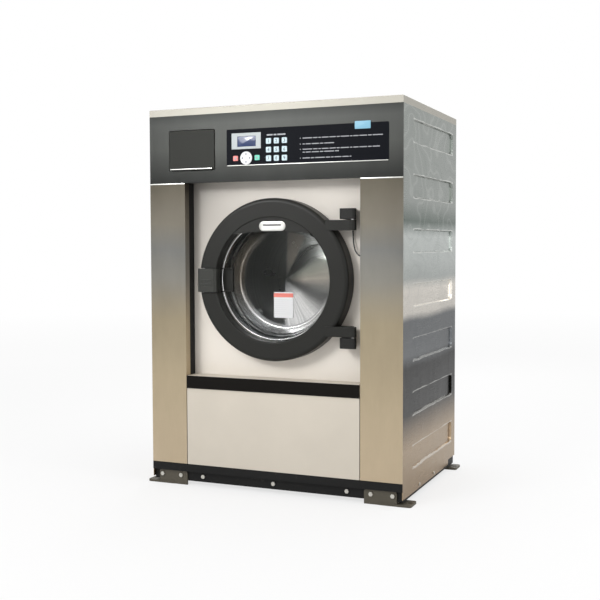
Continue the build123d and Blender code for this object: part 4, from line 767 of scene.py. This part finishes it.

# %% [markdown]
# ## Badge on the door
#
# Above the glass, the casting carries a pill-shaped metal plate, left bare here. It is a block
# whose four corners are rounded by a bevel of almost half its height. The front face is inset to
# leave a rim, and pushed back. A narrow black strip lies in its upper half.

# %% Badge
ring_front_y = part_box("door_ring")[0][1]
web_front_y = ring_front_y + 7 * mm
badge_middle = (door_x + 5 * mm, door_z + 189 * mm)
badge_half = (47 * mm, 13 * mm)
badge = plate(
    "door_badge",
    (badge_middle[0] - badge_half[0], badge_middle[0] + badge_half[0]),
    (web_front_y - 2.6 * mm, web_front_y + 0.6 * mm),
    (badge_middle[1] - badge_half[1], badge_middle[1] + badge_half[1]),
    12.6 * mm,
    0.9 * mm,
    9,
)
pick(badge, facing_front, "FACE")
bpy.ops.mesh.inset(thickness=2.2 * mm)
bpy.ops.mesh.inset(thickness=0.8 * mm, depth=-0.9 * mm)
settle(badge, "badge_metal", "door")
badge_dark_strip = plate(
    "door_badge_slot",
    (badge_middle[0] - 36 * mm, badge_middle[0] + 34 * mm),
    (web_front_y - 2.3 * mm, web_front_y - 1.2 * mm),
    (badge_middle[1] + 1.5 * mm, badge_middle[1] + 6.5 * mm),
    2.3 * mm,
    0.3 * mm,
    6,
)
settle(badge_dark_strip, "black_moulding", "door")
print("badge faces:", len(badge.data.polygons))

# %% [markdown]
# ## Sticker inside the bowl
#
# A sheet of paper on the flat end of the glass. It is a thin plate with small round corners, and
# its lower right corner has lifted a little, which is made by moving the vertices there.

# %% Sticker
sticker = plate(
    "bowl_sticker",
    sticker_x,
    (glass_end_y - 0.9 * mm, glass_end_y - 0.3 * mm),
    sticker_z,
    3 * mm,
    segments=3,
)
pick(sticker, lambda a, b: True)
bpy.ops.mesh.select_all(action="SELECT")
bpy.ops.mesh.subdivide(number_cuts=6)
bpy.ops.object.mode_set(mode="OBJECT")
for vertex in sticker.data.vertices:
    across = (vertex.co.x - sticker_x[0]) / (sticker_x[1] - sticker_x[0])
    up = (vertex.co.z - sticker_z[0]) / (sticker_z[1] - sticker_z[0])
    curl = max(0.0, across - 0.8) * max(0.0, 0.2 - up) * 60.0
    vertex.co.y -= curl * mm
settle(sticker, "sticker_paper", "door")

# %% [markdown]
# ## Bright rim of the glass
#
# Where the glass meets the casting, a door of this kind shows a thin bright line, a metal bead
# that holds the seal. Its profile is a small flattened circle, spun about the axis of the door in
# edit mode and welded where its ends meet.

# %% Bead
def hoop(name, radius, y, half_width, half_depth):
    """A profile spun about the axis of the door."""
    place = (door_x + radius, y, door_z)
    ring = add(name, "circle", place, (half_width, half_depth, 1.0), vertices=10, radius=1.0)
    bpy.ops.object.mode_set(mode="EDIT")
    bpy.ops.mesh.select_all(action="SELECT")
    bpy.ops.mesh.spin(
        steps=96, angle=2 * math.pi, center=(door_x, 0.0, door_z), axis=(0.0, 1.0, 0.0)
    )
    bpy.ops.mesh.select_all(action="SELECT")
    bpy.ops.mesh.remove_doubles(threshold=1e-5)
    bpy.ops.mesh.normals_make_consistent(inside=False)
    bpy.ops.object.mode_set(mode="OBJECT")
    return ring


glass_front_y = bowl_low[1]
bead = hoop("glass_bead", 214.5 * mm, glass_front_y - 2 * mm, 2.6 * mm, 2.0 * mm)
settle(bead, "trim_chrome", "door")

# %% [markdown]
# ## Display and printed panel
#
# The display sits behind a window in its frame: a slab with a soft edge. The panel's lines of
# words are left out, and ruled bars of the same weight stand in for them, broken into lengths as
# words would be. Each bar is a thin plate that sinks into the film, and all are joined.

# %% Display
film_low, film_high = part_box("control_overlay")
board_front_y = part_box("control_board")[0][1]
screen_x = (film_low[0] + 42 * mm, film_low[0] + 115 * mm)
screen_z = (film_low[2] + 64 * mm, film_low[2] + 101 * mm)
screen = plate(
    "display_window",
    (screen_x[0] + 0.4 * mm, screen_x[1] - 0.4 * mm),
    (board_front_y + 0.7 * mm, board_front_y + 1.6 * mm),
    (screen_z[0] + 0.4 * mm, screen_z[1] - 0.4 * mm),
    1.2 * mm,
    0.3 * mm,
)
settle(screen, "display_face", "cabinet")

# %% Printed bars
ink_y = (film_low[1] - 0.15 * mm, film_low[1] + 0.3 * mm)
text_left = film_low[0] + 292.7 * mm
bar_rows = [(84, 293, 7), (64, 119, 3), (46, 279, 7), (36, 133, 3), (16, 178, 5)]
undotted_row = 3
word_lengths = (23, 11, 31, 8, 19, 27, 13, 36, 16, 9, 25)


def printed_row(name, x0, z, length, thick, words):
    """Bars of uneven length with gaps between them, as a line of words is."""
    bars, x, index = [], x0, words
    while x < x0 + length - 4 * mm:
        run = min(word_lengths[index % len(word_lengths)] * mm, x0 + length - x)
        rows = (z - thick / 2, z + thick / 2)
        bars.append(plate(name, (x, x + run), ink_y, rows, 0.9 * mm, segments=2))
        x += run + 3.2 * mm
        index += 1
    return bars


bars = []
for index, (height, length, words) in enumerate(bar_rows):
    z = film_low[2] + height * mm
    bars += printed_row("printed_bars", text_left, z, length * mm, 3.0 * mm, words)
    if index != undotted_row:
        dot_x = (text_left - 10 * mm, text_left - 7 * mm)
        dot_z = (z - 1.5 * mm, z + 1.5 * mm)
        bars.append(plate("printed_bars", dot_x, ink_y, dot_z, 0.7 * mm, segments=2))
heading = (film_low[0] + 157 * mm, film_low[2] + 101 * mm)
bars += printed_row("printed_bars", *heading, 76 * mm, 5.0 * mm, 0)
settle(joined("printed_bars", bars), "white_ink", "cabinet")

# %% Bare tag
tag = plate(
    "bare_tag",
    (film_high[0] - 120 * mm, film_high[0] - 64 * mm),
    (film_low[1] - 0.9 * mm, film_low[1] + 0.4 * mm),
    (film_high[2] - 20 * mm, film_high[2] + 6 * mm),
    2.0 * mm,
    0.4 * mm,
)
settle(tag, "tag_film", "cabinet")

# %% [markdown]
# ## Marks on the keys
#
# Nine keys carry the digits, the red one a square and the green one a triangle, and the round pad
# four arrow heads round a ring. The digits are text objects made into a mesh before they are moved
# into place. Each mark rides on its own key, so it sinks with it when the key is pressed.

# %% Digits
def middle_of(node):
    low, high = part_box(node)
    return (low[0] + high[0]) / 2, low[1], (low[2] + high[2]) / 2


for number in range(1, 10):
    x, y, z = middle_of(f"key_{number}")
    bpy.ops.object.select_all(action="DESELECT")
    bpy.ops.object.text_add(rotation=(math.pi / 2, 0.0, 0.0))
    digit = bpy.context.object
    digit.name = f"digit_{number}"
    digit.data.body = str(number)
    digit.data.size = 16 * mm
    digit.data.align_x = "CENTER"
    digit.data.align_y = "CENTER"
    digit.data.extrude = 0.12 * mm
    bpy.ops.object.convert(target="MESH")
    digit = bpy.context.object
    bpy.ops.object.transform_apply(location=True, rotation=True, scale=True)
    points = [vertex.co for vertex in digit.data.vertices]
    middle = [(min(p[i] for p in points) + max(p[i] for p in points)) / 2 for i in (0, 2)]
    digit.location = (x - middle[0], y - 0.02 * mm, z - middle[1])
    bpy.ops.object.transform_apply(location=True, rotation=True, scale=True)
    bpy.ops.object.mode_set(mode="EDIT")
    bpy.ops.mesh.select_all(action="SELECT")
    bpy.ops.mesh.remove_doubles(threshold=tiny)
    bpy.ops.mesh.normals_make_consistent(inside=False)
    settle(digit, "dark_ink", f"key_{number}_body")

# %% Stop, start and arrows
sign_rise = 0.15 * mm


def token(name, sides, radius, x, y, z, spin):
    """A flat sign with a softened outline."""
    mark = add(
        name, "cylinder", (x, y, z), turn=(math.pi / 2, spin, 0.0),
        vertices=sides, radius=radius, depth=2 * sign_rise,
    )
    pick(mark, along_depth)
    bpy.ops.mesh.bevel(offset=radius * 0.14, segments=3, affect="EDGES")
    bpy.ops.object.mode_set(mode="OBJECT")
    return mark


stop_mark = token("stop_mark", 4, 5.4 * mm, *middle_of("stop_key"), math.pi / 4)
settle(stop_mark, "white_ink", "stop_key_body")
x, y, z = middle_of("start_key")
start_mark = token("start_mark", 3, 5.6 * mm, x - 0.8 * mm, y, z, math.pi / 2)
settle(start_mark, "white_ink", "start_key_body")

x, y, z = middle_of("arrow_pad")
arrow_radius = 14 * mm
heads = []
for index in range(4):
    angle = index * math.pi / 2
    place = (x + arrow_radius * math.sin(angle), y, z + arrow_radius * math.cos(angle))
    heads.append(token("pad_arrows", 3, 3.6 * mm, *place, angle))
settle(joined("pad_arrows", heads), "dark_ink", "arrow_pad_body")

# %% [markdown]
# ## Bright lines of the front
#
# Thin sheet metal edges catch the light as bright lines: the lip of the drawer, the lower edge of
# the control film, and the folded tops of the two pillars. Each is a slim bead let into the
# surface, with its front edges rounded.

# %% Trims
drawer_low, drawer_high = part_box("detergent_drawer")
drawer_lip = plate(
    "drawer_lip_trim",
    (drawer_low[0] + 7 * mm, drawer_high[0] - 7 * mm),
    (drawer_low[1] - 0.5 * mm, drawer_low[1] + 2.0 * mm),
    (drawer_low[2] + 2.2 * mm, drawer_low[2] + 6.0 * mm),
    1.6 * mm,
    0.8 * mm,
)
settle(drawer_lip, "badge_metal", "drawer")

sill = plate(
    "film_lower_trim",
    (film_low[0] + 2 * mm, film_high[0] - 2 * mm),
    (film_low[1] - 0.6 * mm, film_high[1] + 0.4 * mm),
    (film_low[2] - 2.4 * mm, film_low[2] + 0.2 * mm),
    1.0 * mm,
    0.5 * mm,
)
settle(sill, "badge_metal", "cabinet")

for side, node in (("left", "left_pillar"), ("right", "right_pillar")):
    low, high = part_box(node)
    fold = plate(
        f"{side}_pillar_fold",
        (low[0] + 0.5 * mm, high[0] - 0.5 * mm),
        (low[1] - 0.9 * mm, low[1] + 1.0 * mm),
        (high[2] - 4.5 * mm, high[2] - 0.3 * mm),
        0.8 * mm,
        0.7 * mm,
    )
    settle(fold, "badge_metal", "cabinet")

# %% [markdown]
# ## Screws
#
# The rear panels are held by pan-head screws. A head is a cylinder with a rounded front edge,
# whose front face is inset and pushed in to make the recess for the driver. One function makes
# each of them where it belongs, and the heads of a panel are joined.

# %% Screw heads
outward = Vector((0.0, 1.0, 0.0))
head_radius = 4.2 * mm
head_height = 2.4 * mm


def screw_head(name, place):
    """A pan head whose back lies on a rear panel."""
    head = add(name, "cylinder", vertices=20, radius=head_radius, depth=head_height)
    pick(head, lambda middle, facing: facing.z > 0.9, "FACE")
    bpy.ops.mesh.bevel(offset=head_height * 0.42, segments=3, affect="EDGES")
    inner = head_radius * 0.6
    pick(head, lambda middle, facing: facing.z > 0.99 and middle.length < inner, "FACE")
    bpy.ops.mesh.inset(thickness=head_radius * 0.25)
    recess = {"value": (0.0, 0.0, -head_height * 0.45)}
    bpy.ops.mesh.extrude_region_move(TRANSFORM_OT_translate=recess)
    bpy.ops.transform.resize(value=(0.55, 0.55, 1.0))
    bpy.ops.object.mode_set(mode="OBJECT")
    head.rotation_euler = outward.to_track_quat("Z", "Y").to_euler()
    head.location = Vector(place) + outward * (head_height / 2 - 0.1 * mm)
    bpy.ops.object.transform_apply(location=True, rotation=True, scale=True)
    return head


back_low, back_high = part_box("back_panel")
cover_low, cover_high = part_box("rear_cover")
screw_inset = 12 * mm
heads = []
for x in (back_low[0] + screw_inset, back_high[0] - screw_inset):
    for step in range(5):
        z = back_low[2] + 14 * mm + step * (back_high[2] - back_low[2] - 28 * mm) / 4
        heads.append(screw_head("rear_screws", (x, back_high[1], z)))
for step in range(5):
    x = cover_low[0] + screw_inset + step * (cover_high[0] - cover_low[0] - 2 * screw_inset) / 4
    for z in (cover_high[2] - screw_inset, cover_low[2] + screw_inset):
        heads.append(screw_head("rear_screws", (x, cover_high[1], z)))
settle(joined("rear_screws", heads), "bright_steel", "cabinet")

lid_low, lid_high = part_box("top_cover")
lid_middle_z = (lid_low[2] + lid_high[2]) / 2
heads = []
for x in (lid_low[0] + 40 * mm, 0.0, lid_high[0] - 40 * mm):
    heads.append(screw_head("lid_screws", (x, lid_high[1], lid_middle_z)))
settle(joined("lid_screws", heads), "bright_steel", "cabinet")
meshes = [item for item in bpy.data.objects if item.type == "MESH"]
print("pieces made:", len(meshes) - len(nodes))

# %% [markdown]
# ## Floor, light and background
#
# Product pictures of white goods are lit by large soft boxes, so that metal shows wide pale
# reflections and shadows have no hard edge. The background is white to the camera and in
# reflections, but the world lights the rest at a lower level, or every shadow would be washed
# out. The floor is a real surface that keeps the machine's shadow, with a glow for the camera
# only, which grows with the distance until the floor meets the background.
#
# Four large boxes light the whole machine. Two small ones light what lies deep: the door, and the
# inside of the drum, where a narrow box sits in its mouth. None of them is seen by the camera.

# %% The floor
bpy.ops.object.select_all(action="DESELECT")
bpy.ops.mesh.primitive_plane_add(size=60.0, location=(0.0, 0.0, 0.0))
floor = bpy.context.object
floor.name = "studio_floor"
floor_finish = Finish("studio_floor", roughness=0.9)
floor_finish.colour((0.86, 0.86, 0.86))
rays = floor_finish.node("ShaderNodeLightPath", output="Is Camera Ray")
glow = floor_finish.tree.nodes.new("ShaderNodeEmission")
glow.inputs["Color"].default_value = (1.0, 1.0, 1.0, 1.0)
floor_mix = floor_finish.tree.nodes.new("ShaderNodeMixShader")
floor_x, floor_y = floor_finish.axes()[:2]
glow_reach = 12.0
away = (floor_x * floor_x + floor_y * floor_y) ** 0.5 / glow_reach
share = floor_finish.ramp(away, (0.0, 0.70), (0.12, 0.74), (0.35, 0.90), (0.8, 1.0))
floor_finish.put(floor_mix.inputs["Fac"], rays * share)
floor_finish.tree.links.new(floor_finish.shader.outputs[0], floor_mix.inputs[1])
floor_finish.tree.links.new(glow.outputs[0], floor_mix.inputs[2])
floor_end = next(n for n in floor_finish.tree.nodes if n.type == "OUTPUT_MATERIAL")
floor_finish.tree.links.new(floor_mix.outputs[0], floor_end.inputs["Surface"])
floor.data.materials.append(floor_finish.material)

# %% The world
world = bpy.data.worlds.new("studio_world")
world.use_nodes = True
scene.world = world
sky = world.node_tree


def sky_larger(first, second):
    """The larger of two values of the world's nodes."""
    made = sky.nodes.new("ShaderNodeMath")
    made.operation = "MAXIMUM"
    sky.links.new(first, made.inputs[0])
    sky.links.new(second, made.inputs[1])
    return made.outputs[0]


background = sky.nodes["Background"]
background.inputs["Color"].default_value = (1.0, 1.0, 1.0, 1.0)
path = sky.nodes.new("ShaderNodeLightPath")
seen = sky_larger(path.outputs["Is Camera Ray"], path.outputs["Is Transmission Ray"])
mirrored = sky_larger(seen, path.outputs["Is Glossy Ray"])
strength = sky.nodes.new("ShaderNodeMapRange")
sky.links.new(mirrored, strength.inputs["Value"])
strength.inputs["To Min"].default_value = 0.55
strength.inputs["To Max"].default_value = 1.0
sky.links.new(strength.outputs["Result"], background.inputs["Strength"])

# %% The lamps
def soft_box(name, place, aim, size, power, spread=180.0):
    data = bpy.data.lights.new(name, "AREA")
    data.shape = "RECTANGLE"
    data.size, data.size_y = size
    data.energy = power
    data.spread = math.radians(spread)
    lamp = bpy.data.objects.new(name, data)
    lamp.location = place
    direction = Vector(aim) - Vector(place)
    lamp.rotation_euler = direction.to_track_quat("-Z", "Y").to_euler()
    lamp.visible_camera = False
    scene.collection.objects.link(lamp)


soft_box("key_box", (-1.4, -3.4, 2.6), (0.0, -0.3, 0.6), (2.2, 1.6), 55.0)
soft_box("top_box", (0.2, 0.2, 3.6), (0.0, 0.0, 1.0), (3.0, 3.0), 45.0)
soft_box("side_box", (3.4, -0.8, 1.6), (0.4, 0.0, 0.8), (2.0, 2.4), 35.0)
soft_box("door_box", (-1.0, -2.6, 1.9), (0.05, 0.0, 0.66), (0.6, 0.6), 0.8, 30.0)
soft_box("drum_box", (0.02, -0.17, 0.90), (0.10, 0.25, 0.66), (0.22, 0.05), 0.9)
soft_box("rear_box", (-0.6, 3.4, 2.2), (0.0, 0.3, 0.7), (2.2, 1.8), 30.0)

# %% [markdown]
# ## Finish
#
# Small trims may stand a few millimetres outside the solids, but never more.

# %% Update the view layer
bpy.context.view_layer.update()
